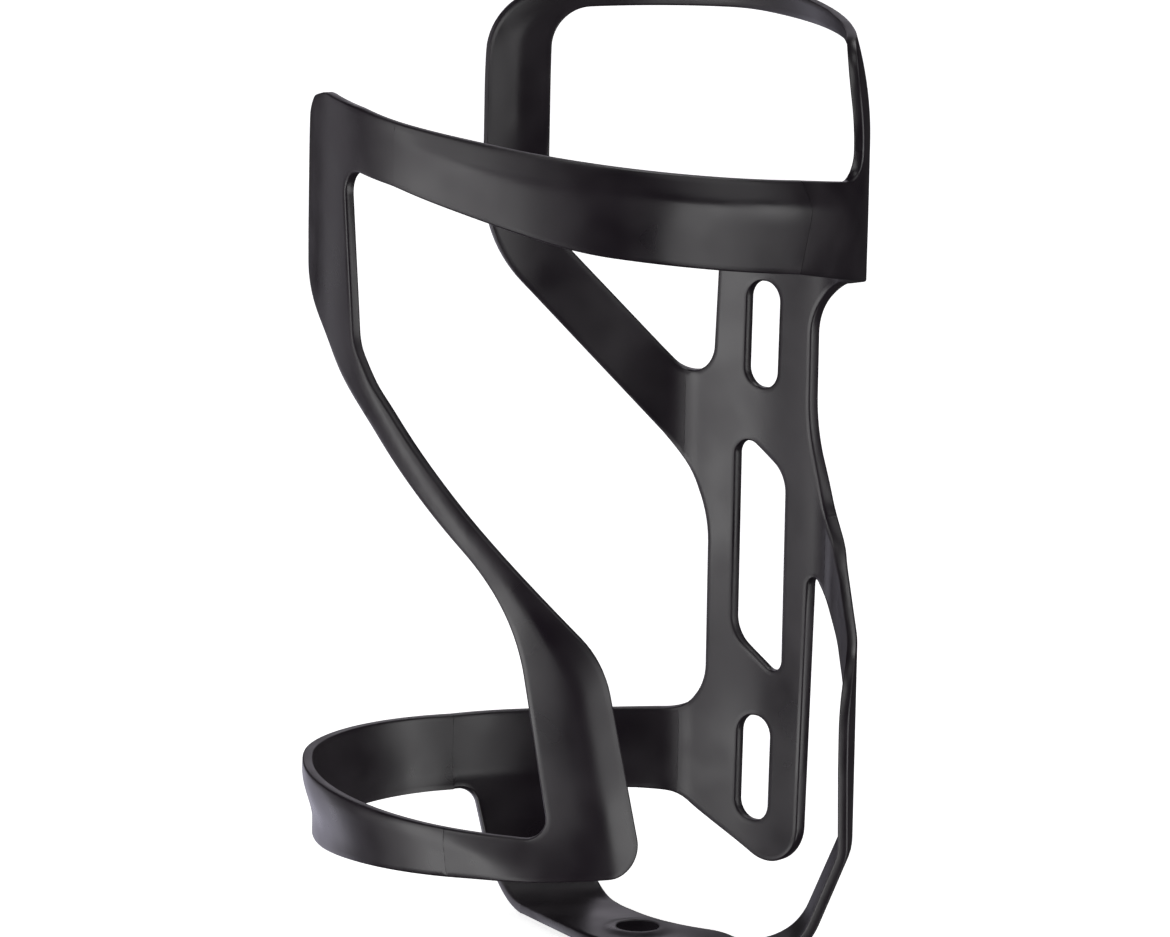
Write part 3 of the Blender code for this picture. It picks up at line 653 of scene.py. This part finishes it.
def clearance(points, lines):
    """Distance from each point to the nearest of the lines."""
    nearest = np.full(len(points), np.inf)
    for bends in lines:
        for a, b in zip(bends, bends[1:]):
            along = b - a
            share = np.clip((points - a) @ along / max(along @ along, 1e-18), 0.0, 1.0)
            nearest = np.minimum(nearest, np.hypot(*(points - a - share[:, None] * along).T))
    return nearest


def eased(first, second, ease):
    """The lower of two rises, with the crease between them rounded."""
    share = np.clip(0.5 + 0.5 * (second - first) / ease, 0.0, 1.0)
    return second + (first - second) * share - ease * share * (1 - share)


def crown_fall(points, chains, form):
    """How far a face falls away from its plateau towards its edges."""
    rise = eased(form.slopes[0] * clearance(points, chains[:1]), form.cap, form.ease)
    rise = eased(rise, form.slopes[1] * clearance(points, chains[1:]), RIDGE_EASE)
    return np.maximum(form.cap - rise, 0.0)


def inside(points, loops):
    """Which of the points lie inside the outlines and outside their holes."""
    odd = np.zeros(len(points), bool)
    for loop in loops:
        for a, b in zip(loop, loop[1:]):
            spans = (a[1] > points[:, 1]) != (b[1] > points[:, 1])
            rise = b[1] - a[1] if b[1] != a[1] else 1e-12
            odd ^= spans & (points[:, 0] < a[0] + (points[:, 1] - a[1]) * (b[0] - a[0]) / rise)
    return odd


def grid_points(loops):
    """Points in even rows inside the outlines, clear of the rings along their rims."""
    size = sizes()
    low = np.min([loop.min(0) for loop in loops], 0)
    high = np.max([loop.max(0) for loop in loops], 0)
    columns, rows = np.ceil((high - low) / (size.grid * np.array((1.0, ROW_PITCH)))).astype(int)
    x, y = np.meshgrid(np.arange(columns), np.arange(rows))
    x = low[0] + size.grid * (x + 0.5 * (y % 2))
    y = low[1] + size.grid * ROW_PITCH * y
    points = np.stack([x.ravel(), y.ravel()], 1)
    points = points[inside(points, loops)]
    return points[clearance(points, loops) > RIM_RINGS[-1][0] * size.rim + 0.6 * size.grid]


def sheet_mesh(name, loops, spots, edges, drops):
    """Faces between the spots, inside the outlines, with each spot's drop at a rim kept on its vertex."""
    verts, _, faces, sources, _, _ = delaunay_2d_cdt(spots, edges, [], 0, 1e-8)
    places = np.array([(vert.x, vert.y) for vert in verts])
    corners = np.array([face[:3] for face in faces])
    keep = inside(places[corners].mean(1), loops)
    mesh = bpy.data.meshes.new(name)
    kept_faces = [face for face, kept in zip(faces, keep) if kept]
    mesh.from_pydata([(vert.x, vert.y, 0.0) for vert in verts], [], kept_faces)
    drop = mesh.attributes.new("rim_drop", "FLOAT", "POINT")
    drop.data.foreach_set("value", [drops[source[0]] if source else 0.0 for source in sources])
    return mesh


def thicken(sheet):
    """Clears the sheet's loose points and gives it the wall's thickness."""
    pick(sheet)
    bpy.ops.object.mode_set(mode="EDIT")
    bpy.ops.mesh.select_all(action="SELECT")
    bpy.ops.mesh.delete_loose()
    bpy.ops.object.mode_set(mode="OBJECT")
    wall = sheet.modifiers.new("Wall", "SOLIDIFY")
    wall.thickness = sizes().wall
    wall.offset = 0.0
    bpy.ops.object.modifier_apply(modifier=wall.name)


def blank(name, shape):
    """Flat sheet whose faces follow its rims and are small enough to bend, with the edges that crown it."""
    if name in BLANKS:
        return BLANKS[name]
    outline, holes, crowned = shape
    rim = sizes().rim
    loops, spots, edges, drops = [], [], [], []
    for corners in (outline, *holes):
        points = joined(arcs(corners))
        if (area(points) < 0) == (corners is outline):
            points.reverse()
        loops.append(closed(points))
        path = spaced(points, RIM_STEP)
        for inward, drop in RIM_RINGS:
            first = len(spots)
            ring = inset(path, inward * rim)
            spots.extend(ring)
            drops.extend([drop * rim] * len(ring))
            edges.extend((first + k, first + (k + 1) % len(ring)) for k in range(len(ring)))
    points = grid_points(loops)
    spots.extend(Vector(point) for point in points)
    drops.extend([0.0] * len(points))
    sheet = bpy.data.objects.new(name, sheet_mesh(name, loops, spots, edges, drops))
    bpy.context.scene.collection.objects.link(sheet)
    thicken(sheet)
    turns = arcs(outline)
    BLANKS[name] = sheet, [line([*start, *joined(turns[part])]) for part, start in crowned]
    return BLANKS[name]


def cut_member(name, sheet, cuts, seed):
    """Copy of the sheet, trimmed at its joints, leaving the member that the seed lies on."""
    pick(sheet)
    bpy.ops.object.duplicate()
    piece = bpy.context.object
    piece.name = name + "_shell"
    piece.data.name = piece.name
    bpy.ops.object.mode_set(mode="EDIT")
    for point, away, gap in cuts:
        away = Vector((*away, 0.0)).normalized()
        start = Vector((*point, 0.0)) - away * gap / 2
        bpy.ops.mesh.select_all(action="SELECT")
        bpy.ops.mesh.bisect(plane_co=start, plane_no=away, use_fill=True, clear_outer=True)
    bpy.ops.mesh.select_all(action="DESELECT")
    shape = bmesh.from_edit_mesh(piece.data)
    seed = Vector((*seed, 0.0))
    nearest = min(shape.verts, key=lambda vert: (vert.co - seed).length_squared)
    nearest.select = True
    bpy.ops.mesh.select_linked()
    bpy.ops.mesh.select_all(action="INVERT")
    bpy.ops.mesh.delete(type="VERT")
    bpy.ops.object.mode_set(mode="OBJECT")
    return piece


def shape_member(piece, section, wrap, chains, crown):
    """Crowns the flat member, wraps it to its place and smooths its shading."""
    size = sizes()
    mesh = piece.data
    flat = np.empty(len(mesh.vertices) * 3, np.float32)
    mesh.vertices.foreach_get("co", flat)
    flat = flat.reshape(-1, 3).astype(float)
    form = crown(flat[:, 0], flat[:, 1])
    fall = crown_fall(flat[:, :2], chains, form) if chains else 0.0
    drop = np.empty(len(mesh.vertices), np.float32)
    mesh.attributes["rim_drop"].data.foreach_get("value", drop)
    level = np.sign(flat[:, 2]) * np.maximum(np.abs(flat[:, 2]) - drop, 0.0)
    share = np.clip(level / size.wall + 0.5, 0.0, 1.0)
    out = level - form.fade * fall - (1 - share) * form.swell + form.lift
    placed = wrap(section, flat[:, 0], flat[:, 1], out)
    mesh.vertices.foreach_set("co", placed.astype(np.float32).ravel())
    mesh.update()
    pick(piece)
    bpy.ops.object.mode_set(mode="EDIT")
    bpy.ops.mesh.select_all(action="SELECT")
    bpy.ops.mesh.normals_make_consistent(inside=False)
    bpy.ops.object.mode_set(mode="OBJECT")
    bpy.ops.object.shade_smooth_by_angle(angle=SHARP_EDGE)


def fit_out(piece, node, material):
    piece.data.materials.clear()
    piece.data.materials.append(material)
    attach(piece, BODY)
    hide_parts(node)


def group_node(tree, group, place):
    node = tree.nodes.new("ShaderNodeGroup")
    node.node_tree = group
    node.location = place
    return node


def mottle_group():
    """Uneven laminate in object space: cloudy resin, broad soft plies and the height of a fine grain."""
    name = "laminate_mottle"
    if name in bpy.data.node_groups:
        return bpy.data.node_groups[name]
    group = bpy.data.node_groups.new(name, "ShaderNodeTree")
    for label, value in (("Patch scale", 160.0), ("Ply scale", 42.0), ("Grain scale", 600.0)):
        group.interface.new_socket(label, in_out="INPUT", socket_type="NodeSocketFloat").default_value = value
    for label in ("Patches", "Plies", "Height"):
        group.interface.new_socket(label, in_out="OUTPUT", socket_type="NodeSocketFloat")
    nodes, links = group.nodes, group.links
    start = nodes.new("NodeGroupInput")
    end = nodes.new("NodeGroupOutput")
    coordinates = nodes.new("ShaderNodeTexCoord")

    def noise(scale, detail):
        node = nodes.new("ShaderNodeTexNoise")
        node.inputs["Detail"].default_value = detail
        links.new(coordinates.outputs["Object"], node.inputs["Vector"])
        links.new(start.outputs[scale], node.inputs["Scale"])
        return node.outputs["Fac"]

    def contrast(value, low, high, output):
        node = nodes.new("ShaderNodeMapRange")
        node.interpolation_type = "SMOOTHSTEP"
        node.inputs["From Min"].default_value = low
        node.inputs["From Max"].default_value = high
        links.new(value, node.inputs["Value"])
        links.new(node.outputs["Result"], end.inputs[output])

    contrast(noise("Patch scale", 1.0), 0.2, 0.8, "Patches")
    contrast(noise("Ply scale", 1.0), 0.38, 0.62, "Plies")
    height = nodes.new("ShaderNodeMath")
    height.operation = "MULTIPLY"
    height.inputs[1].default_value = 0.1
    links.new(noise("Grain scale", 2.0), height.inputs[0])
    links.new(height.outputs["Value"], end.inputs["Height"])
    return group


def mixed(tree, factor, first, second):
    """Value node that blends two amounts by a factor socket."""
    blend = tree.nodes.new("ShaderNodeMapRange")
    blend.inputs["To Min"].default_value = first
    blend.inputs["To Max"].default_value = second
    tree.links.new(factor, blend.inputs["Value"])
    return blend.outputs["Result"]


def added(tree, first, second):
    total = tree.nodes.new("ShaderNodeMath")
    total.operation = "ADD"
    tree.links.new(first, total.inputs[0])
    tree.links.new(second, total.inputs[1])
    return total.outputs["Value"]


def satin_carbon(name, tone, patch_scale):
    """Dark satin laminate: mottled colour, uneven gloss and a faint orange peel."""
    material = bpy.data.materials.new(name)
    material.use_nodes = True
    tree = material.node_tree
    shader = tree.nodes["Principled BSDF"]
    palette = colours()
    mottle = group_node(tree, mottle_group(), (-700, 0))
    mottle.inputs["Patch scale"].default_value = patch_scale
    blend = tree.nodes.new("ShaderNodeMix")
    blend.data_type = "RGBA"
    blend.inputs["A"].default_value = (*[value * tone for value in palette.laminate], 1.0)
    blend.inputs["B"].default_value = (*[value * tone for value in palette.mottle], 1.0)
    patches, plies = mottle.outputs["Patches"], mottle.outputs["Plies"]
    share = added(tree, mixed(tree, patches, 0.0, 0.6), mixed(tree, plies, 0.0, 0.4))
    tree.links.new(share, blend.inputs["Factor"])
    tree.links.new(blend.outputs["Result"], shader.inputs["Base Color"])
    gloss = added(tree, mixed(tree, patches, 0.25, 0.36), mixed(tree, plies, 0.0, 0.10))
    tree.links.new(gloss, shader.inputs["Roughness"])
    bump = tree.nodes.new("ShaderNodeBump")
    bump.inputs["Strength"].default_value = 0.08
    bump.inputs["Distance"].default_value = 0.0004
    tree.links.new(mottle.outputs["Height"], bump.inputs["Height"])
    tree.links.new(bump.outputs["Normal"], shader.inputs["Normal"])
    shader.inputs["Specular IOR Level"].default_value = 0.5
    return material


def shade_bore_wall(plate):
    """Gives the wall of the foot's hole painted shade: a darker copy of the laminate with a dull, low gloss.
    """
    # Painted shade for the dark inside of the foot's hole: the laminate at a darker tone, with a high
    # roughness and little gloss.
    bore_shade = satin_carbon("bore_shade_laminate", tone=0.6, patch_scale=400.0)
    shader = bore_shade.node_tree.nodes["Principled BSDF"]
    bore_shade.node_tree.links.remove(shader.inputs["Roughness"].links[0])
    shader.inputs["Roughness"].default_value = 0.9
    shader.inputs["Specular IOR Level"].default_value = 0.1
    plate.data.materials.append(bore_shade)
    middle = Vector((0.0, Section().axis_y + FOOT_HOLE_BACK))
    for face in plate.data.polygons:
        if (face.center.xy - middle).length < FOOT_HOLE + BORE_MARGIN:
            face.material_index = 1


def rear_crown(flat, height):
    """Flat behind, a shallow trough along the spine, and the full crown where the band comes round."""
    aside = np.abs(flat)
    post = ramp(height, 60 * MM, 6 * MM) * (1 - ramp(flat, 47 * MM, 9 * MM))
    band = ramp(flat, 36 * MM, 22 * MM) * (1 - post)
    swell = SPINE_TROUGH * ramp(aside, 0.0, 11 * MM) * ramp(aside, 24 * MM, -13 * MM)
    return Crown(BAND_CROWN[:2], *BAND_CROWN[2:], band, swell)


def front_crown(flat, height):
    """Slopes on both sides of the ridge along the front members, fading on the ear, the heel and behind."""
    section = Section()
    side = section.front(SIDE_SEAM)
    back = section.front(math.degrees(section.rear_seam))
    band = ramp(height, 40 * MM, 8 * MM)
    strut = ramp(height, 2 * MM, 18 * MM)
    lower = ramp(flat, -25 * MM, 24 * MM) * ramp(height, -8 * MM, -10 * MM)
    first, second, cap, ease = [
        panel + (upper - middle) * band + (middle - panel) * strut + (foot - panel) * lower
        for upper, middle, panel, foot in zip(BAND_CROWN, STRUT_CROWN, PANEL_CROWN, LOWER_CROWN)
    ]
    ear = ramp(flat, -12 * MM, 20 * MM) * ramp(flat + height, 34 * MM, 18 * MM)
    heel = ramp(flat, 10 * MM, 20 * MM) * (height < 0)
    fade = (1 - ramp(flat, side, back - side)) * (1 - EAR_FLATNESS * ear) * (1 - HEEL_FLATNESS * heel)
    return Crown((first, second), cap, ease, fade)


def hoop_crown(flat, height):
    """Ridge along the left post, standing proud of its rims and dying out at its joint and along the bar."""
    fade = ramp(height, LEFT_POST_SEAM, 9 * MM) * ramp(height, 82 * MM, -8 * MM) * (flat < 0)
    return Crown(POST_CROWN[:2], *POST_CROWN[2:], fade, lift=POST_LIFT * fade)


def foot_crown(flat, height):
    """Level plate with a raised lip round its hole."""
    away = np.hypot(flat, height - Section().axis_y - FOOT_HOLE_BACK)
    return Crown((), swell=FOOT_LIP * ramp(away, FOOT_HOLE + LIP_REACH, -LIP_RISE))


FRAME_SHEET = Sheet("frame_sheet", frame_outline, wrap_frame, rear_crown)
FRONT_SHEET = Sheet("front_sheet", front_outline, wrap_front, front_crown)
HOOP_SHEET = Sheet("hoop_sheet", hoop_outline, wrap_hoop, hoop_crown)
FOOT_SHEET = Sheet("foot_sheet", foot_outline, wrap_foot, foot_crown)


def make_member(sheet, name, cuts, seed, material):
    """Member cut from a flat sheet, crowned, wrapped to its place and given its material."""
    section = Section()
    flat, chains = blank(sheet.name, sheet.outline(section))
    piece = cut_member(name, flat, cuts, seed)
    shape_member(piece, section, sheet.wrap, chains, sheet.crown)
    fit_out(piece, name, material)
    return piece


def upright_cut(place, side, gap):
    """Joint at a place along the sheet, trimming what lies on that side of it."""
    return (place, 0), (side, 0), gap


def level_cut(height, side, gap):
    """Joint at a height of the sheet, trimming what lies on that side of it."""
    return (0, height), (0, side), gap


def slant_cut(place, side, gap):
    """Joint across the strut at a place of the sheet, trimming what lies above it or below it."""
    return place, (side, side), gap


def spine_cut(side):
    """Joint that parts a member on that side from the spine."""
    return upright_cut(side * SPINE_SEAM, -side, sizes().hidden_joint)


class CAGE_OT_spine(bpy.types.Operator):
    """Spine plate with its bolt slots and window"""

    bl_idname = "cage.spine"
    bl_label = "Spine"

    def execute(self, context):
        gap = sizes().hidden_joint
        material = satin_carbon("spine_laminate", tone=1.1, patch_scale=170.0)
        cuts = [upright_cut(-SPINE_SEAM, -1, gap), upright_cut(SPINE_SEAM, 1, gap)]
        make_member(FRAME_SHEET, "spine_plate", cuts, (0, 21 * MM), material)
        return {"FINISHED"}


class CAGE_OT_arms(bpy.types.Operator):
    """Members that leave the spine for the hoop and the upper band"""

    bl_idname = "cage.arms"
    bl_label = "Arms"

    def execute(self, context):
        gap = sizes().hidden_joint
        material = satin_carbon("arm_laminate", tone=1.0, patch_scale=150.0)
        cuts = [spine_cut(-1), level_cut(LEFT_POST_SEAM, 1, gap)]
        make_member(FRAME_SHEET, "upper_arm", cuts, (-25 * MM, 30 * MM), material)
        band = upright_cut(Section().along(BAND_SEAM), 1, sizes().open_joint)
        cuts = [spine_cut(1), band, level_cut(RIGHT_POST_SEAM, 1, gap)]
        make_member(FRAME_SHEET, "upper_band_root", cuts, (30 * MM, 52 * MM), material)
        return {"FINISHED"}


class CAGE_OT_rail(bpy.types.Operator):
    """Rail on the right, from the spine down to the foot"""

    bl_idname = "cage.rail"
    bl_label = "Rail"

    def execute(self, context):
        gap = sizes().hidden_joint
        material = satin_carbon("rail_laminate", tone=0.95, patch_scale=140.0)
        cuts = [spine_cut(1), level_cut(RAIL_SEAM, -1, gap)]
        make_member(FRAME_SHEET, "rail_arm", cuts, (25 * MM, -7 * MM), material)
        cuts = [spine_cut(1), level_cut(RAIL_SEAM, 1, gap), level_cut(FOOT_SEAM, -1, gap)]
        make_member(FRAME_SHEET, "rail_upright", cuts, (39 * MM, -30 * MM), material)
        return {"FINISHED"}


class CAGE_OT_lower_band(bpy.types.Operator):
    """Lower band from the spine round the left side to the front"""

    bl_idname = "cage.lower_band"
    bl_label = "Lower band"

    def execute(self, context):
        section = Section()
        gap = sizes().hidden_joint
        material = satin_carbon("lower_band_laminate", tone=1.0, patch_scale=150.0)
        cuts = [spine_cut(-1), upright_cut(-LOWER_REAR_SEAM, -1, gap), level_cut(FOOT_SEAM, -1, gap)]
        make_member(FRAME_SHEET, "lower_band_rear", cuts, (-20 * MM, -30 * MM), material)
        low = section.front(PANEL_SEAM)
        side = section.front(SIDE_SEAM)
        back = section.front(math.degrees(section.rear_seam))
        cuts = [upright_cut(low, -1, sizes().open_joint), upright_cut(side, 1, gap)]
        seed = ((low + side) / 2, -28 * MM)
        make_member(FRONT_SHEET, "lower_band_front", cuts, seed, material)
        cuts = [upright_cut(side, -1, gap), upright_cut(back, 1, gap)]
        seed = ((side + back) / 2, -30 * MM)
        make_member(FRONT_SHEET, "lower_band_side", cuts, seed, material)
        return {"FINISHED"}


class CAGE_OT_front_strip(bpy.types.Operator):
    """Upper band, ear, strut and corner panel across the bottle's front"""

    bl_idname = "cage.front_strip"
    bl_label = "Front strip"

    def execute(self, context):
        section = Section()
        gap = sizes().hidden_joint
        show = sizes().open_joint
        start = section.front(BAND_SEAM)
        low = section.front(PANEL_SEAM)
        material = satin_carbon("front_laminate", tone=1.0, patch_scale=160.0)
        cuts = [upright_cut(start, -1, show), upright_cut(EAR_SEAM, 1, gap)]
        make_member(FRONT_SHEET, "upper_band", cuts, (start / 2, 62 * MM), material)
        cuts = [upright_cut(EAR_SEAM, -1, gap), slant_cut(STRUT_TOP_SEAM, -1, gap)]
        make_member(FRONT_SHEET, "ear_panel", cuts, (27 * MM, 60 * MM), material)
        cuts = [slant_cut(STRUT_TOP_SEAM, 1, gap), slant_cut(STRUT_FOOT_SEAM, -1, gap)]
        make_member(FRONT_SHEET, "front_strut", cuts, (-4.4 * MM, 20.6 * MM), material)
        cuts = [slant_cut(STRUT_FOOT_SEAM, 1, gap), upright_cut(low, 1, show)]
        make_member(FRONT_SHEET, "corner_panel", cuts, (-26 * MM, -25 * MM), material)
        return {"FINISHED"}


class CAGE_OT_hoop(bpy.types.Operator):
    """Hoop above the band: two posts and the bar between them"""

    bl_idname = "cage.hoop"
    bl_label = "Hoop"

    def execute(self, context):
        section = Section()
        gap = sizes().hidden_joint
        end = section.arc(BAR_SEAM)
        reach = section.arc(POST_MIDDLE)
        material = satin_carbon("hoop_laminate", tone=0.95, patch_scale=150.0)
        cuts = [level_cut(LEFT_POST_SEAM, -1, gap), upright_cut(-end, 1, gap)]
        make_member(HOOP_SHEET, "hoop_left_post", cuts, (-reach, 62 * MM), material)
        cuts = [upright_cut(-end, -1, gap), upright_cut(end, 1, gap)]
        make_member(HOOP_SHEET, "hoop_bar", cuts, (0, 82 * MM), material)
        cuts = [level_cut(RIGHT_POST_SEAM, -1, gap), upright_cut(end, -1, gap)]
        make_member(HOOP_SHEET, "hoop_right_post", cuts, (reach, 70 * MM), material)
        return {"FINISHED"}


class CAGE_OT_foot(bpy.types.Operator):
    """Foot below the bottle: two straps and the plate with its hole"""

    bl_idname = "cage.foot"
    bl_label = "Foot"

    def execute(self, context):
        gap = sizes().hidden_joint
        material = satin_carbon("foot_laminate", tone=0.9, patch_scale=140.0)
        ends = [level_cut(FOOT_SEAM, 1, gap), level_cut(PROFILE_END, -1, gap)]
        seed = (-35 * MM, -48 * MM)
        make_member(FRAME_SHEET, "foot_strap", [spine_cut(-1), *ends], seed, material)
        seed = (36 * MM, -48 * MM)
        make_member(FRAME_SHEET, "foot_riser", [spine_cut(1), *ends], seed, material)
        meetings = [strap_end(Section(), strap) for strap in STRAPS]
        cuts = [(points[0], outward, gap) for points, _, outward in meetings]
        plate = make_member(FOOT_SHEET, "foot_plate", cuts, (0, -30 * MM), material)
        # Painted shade on the wall of the plate's hole.
        shade_bore_wall(plate)
        return {"FINISHED"}


SOFT_BOXES = (
    # name, degrees right of the camera, degrees up, distance, width, height, glow, colour
    ("left_strip", -63.0, -14.0, 1.2, 0.62, 1.20, 3.5, (1.0, 1.0, 1.0)),
    ("left_fill", -38.0, -14.0, 1.2, 0.42, 1.10, 0.7, (1.0, 1.0, 1.0)),
    ("left_wing", -90.0, -14.0, 1.2, 0.30, 1.20, 0.7, (1.0, 0.98, 1.0)),
    ("left_high", -56.0, 36.0, 1.2, 1.00, 0.90, 2.0, (1.0, 1.0, 1.0)),
    ("left_near", -40.0, -40.0, 1.2, 0.36, 0.40, 2.4, (1.0, 1.0, 1.0)),
    ("left_rear", -125.0, -6.0, 1.2, 0.50, 1.10, 0.55, (0.96, 0.94, 1.0)),
    ("left_card", -142.0, -27.0, 0.285, 0.20, 0.17, 1.0, (0.86, 0.84, 1.0)),
    ("right_strip", 50.0, -18.0, 1.2, 0.60, 1.10, 3.0, (1.0, 1.0, 1.0)),
    ("right_side", 80.0, -4.0, 1.2, 0.60, 0.80, 2.5, (1.0, 1.0, 1.0)),
    ("right_high", 82.0, 45.0, 1.2, 0.80, 0.70, 1.0, (1.0, 1.0, 1.0)),
    ("top", 0.0, 80.0, 1.2, 0.40, 0.40, 1.7, (1.0, 1.0, 1.0)),
    ("rear_low", 180.0, 16.0, 1.2, 0.80, 0.40, 0.75, (0.95, 0.90, 1.0)),
    ("rear_high", 150.0, 58.0, 1.2, 0.45, 0.45, 3.2, (1.0, 1.0, 1.0)),
)


def bearing(azimuth, elevation):
    """Direction from the cage at an angle round it and above the level."""
    around = math.radians(azimuth)
    up = math.radians(elevation)
    return Vector((math.sin(around) * math.cos(up), -math.cos(around) * math.cos(up), math.sin(up)))


def soft_box(name, azimuth, elevation, distance, width, height, glow, colour):
    """Soft box at an angle to the right of the camera and above the level, facing the cage."""
    offset = bearing(CAMERA_AZIMUTH + azimuth, elevation)
    data = bpy.data.lights.new(name, "AREA")
    data.shape = "RECTANGLE"
    data.size = width
    data.size_y = height
    data.energy = glow * math.pi * width * height
    data.color = colour
    lamp = bpy.data.objects.new(name, data)
    lamp.location = Vector(STUDIO_MIDDLE) + offset * distance
    lamp.rotation_euler = (-offset).to_track_quat("-Z", "Y").to_euler()
    lamp.visible_camera = False
    bpy.context.scene.collection.objects.link(lamp)


def studio_floor():
    """Pale floor that only the camera sees."""
    deselect()
    bpy.ops.mesh.primitive_plane_add(size=12.0, location=(0.0, 0.0, 0.0))
    floor = bpy.context.object
    floor.name = "studio_floor"
    for vert in floor.data.vertices:
        vert.co.z = FLOOR_HEIGHT
    material = bpy.data.materials.new("studio_floor")
    material.use_nodes = True
    shader = material.node_tree.nodes["Principled BSDF"]
    shader.inputs["Base Color"].default_value = (*colours().floor, 1.0)
    shader.inputs["Roughness"].default_value = 0.9
    shader.inputs["Specular IOR Level"].default_value = 0.0
    shader.inputs["Emission Color"].default_value = (1.0, 1.0, 1.0, 1.0)
    shader.inputs["Emission Strength"].default_value = 0.8
    floor.data.materials.append(material)
    floor.visible_glossy = False
    floor.visible_diffuse = False
    floor.visible_shadow = False


def studio_world():
    """Faint even light from all round."""
    world = bpy.data.worlds.new("studio")
    world.use_nodes = True
    background = world.node_tree.nodes["Background"]
    background.inputs["Color"].default_value = (1.0, 1.0, 1.0, 1.0)
    background.inputs["Strength"].default_value = 0.03
    return world


def photo_camera():
    """Camera at the place, angle and focus worked out from the photograph."""
    data = bpy.data.cameras.new("photo_camera")
    data.sensor_fit = "HORIZONTAL"
    data.sensor_width = SENSOR_WIDTH
    data.lens = CAMERA_FOCUS / IMAGE_WIDTH * SENSOR_WIDTH
    data.clip_start = 0.01
    data.clip_end = 50.0
    azimuth = math.radians(CAMERA_AZIMUTH)
    roll = math.radians(CAMERA_ROLL)
    back = bearing(CAMERA_AZIMUTH, CAMERA_ELEVATION)
    level = Vector((math.cos(azimuth), math.sin(azimuth), 0.0))
    upright = back.cross(level)
    right = math.cos(roll) * level + math.sin(roll) * upright
    up = -math.sin(roll) * level + math.cos(roll) * upright
    turn = Matrix((right, up, back)).transposed().to_4x4()
    camera = bpy.data.objects.new("photo_camera", data)
    camera.matrix_world = Matrix.Translation(Vector(CAMERA_PLACE)) @ turn
    bpy.context.scene.collection.objects.link(camera)
    return camera


class CAGE_OT_stage(bpy.types.Operator):
    """Pale floor, soft boxes and the camera"""

    bl_idname = "cage.stage"
    bl_label = "Studio"

    def execute(self, context):
        studio_floor()
        for box in SOFT_BOXES:
            soft_box(*box)
        scene = context.scene
        scene.world = studio_world()
        scene.camera = photo_camera()
        scene.view_settings.view_transform = "Standard"
        return {"FINISHED"}


class CAGE_PT_panel(bpy.types.Panel):
    """Lists the cage's pieces and sizes"""

    bl_idname = "CAGE_PT_panel"
    bl_label = "Bottle Cage"
    bl_space_type = "VIEW_3D"
    bl_region_type = "UI"
    bl_category = "Bottle Cage"

    def draw(self, context):
        layout = self.layout
        for name in CageSizes.__annotations__:
            layout.prop(context.scene.cage_sizes, name)
        for name in CageColours.__annotations__:
            layout.prop(context.scene.cage_colours, name)
        for operator in OPERATORS:
            layout.operator(operator.bl_idname)


OPERATORS = (
    CAGE_OT_spine,
    CAGE_OT_arms,
    CAGE_OT_rail,
    CAGE_OT_lower_band,
    CAGE_OT_front_strip,
    CAGE_OT_hoop,
    CAGE_OT_foot,
    CAGE_OT_stage,
)
CLASSES = (CageSizes, CageColours, *OPERATORS, CAGE_PT_panel)


def register():
    for cls in CLASSES:
        bpy.utils.register_class(cls)
    bpy.types.Scene.cage_sizes = bpy.props.PointerProperty(type=CageSizes)
    bpy.types.Scene.cage_colours = bpy.props.PointerProperty(type=CageColours)


def unregister():
    del bpy.types.Scene.cage_colours
    del bpy.types.Scene.cage_sizes
    for cls in reversed(CLASSES):
        bpy.utils.unregister_class(cls)


def main():
    register()
    bpy.ops.cage.spine()
    bpy.ops.cage.arms()
    bpy.ops.cage.rail()
    bpy.ops.cage.lower_band()
    bpy.ops.cage.front_strip()
    bpy.ops.cage.hoop()
    bpy.ops.cage.foot()
    bpy.ops.cage.stage()
    deselect()
    for sheet, _ in BLANKS.values():
        bpy.data.objects.remove(sheet)
    BLANKS.clear()


if __name__ == "__main__":
    main()
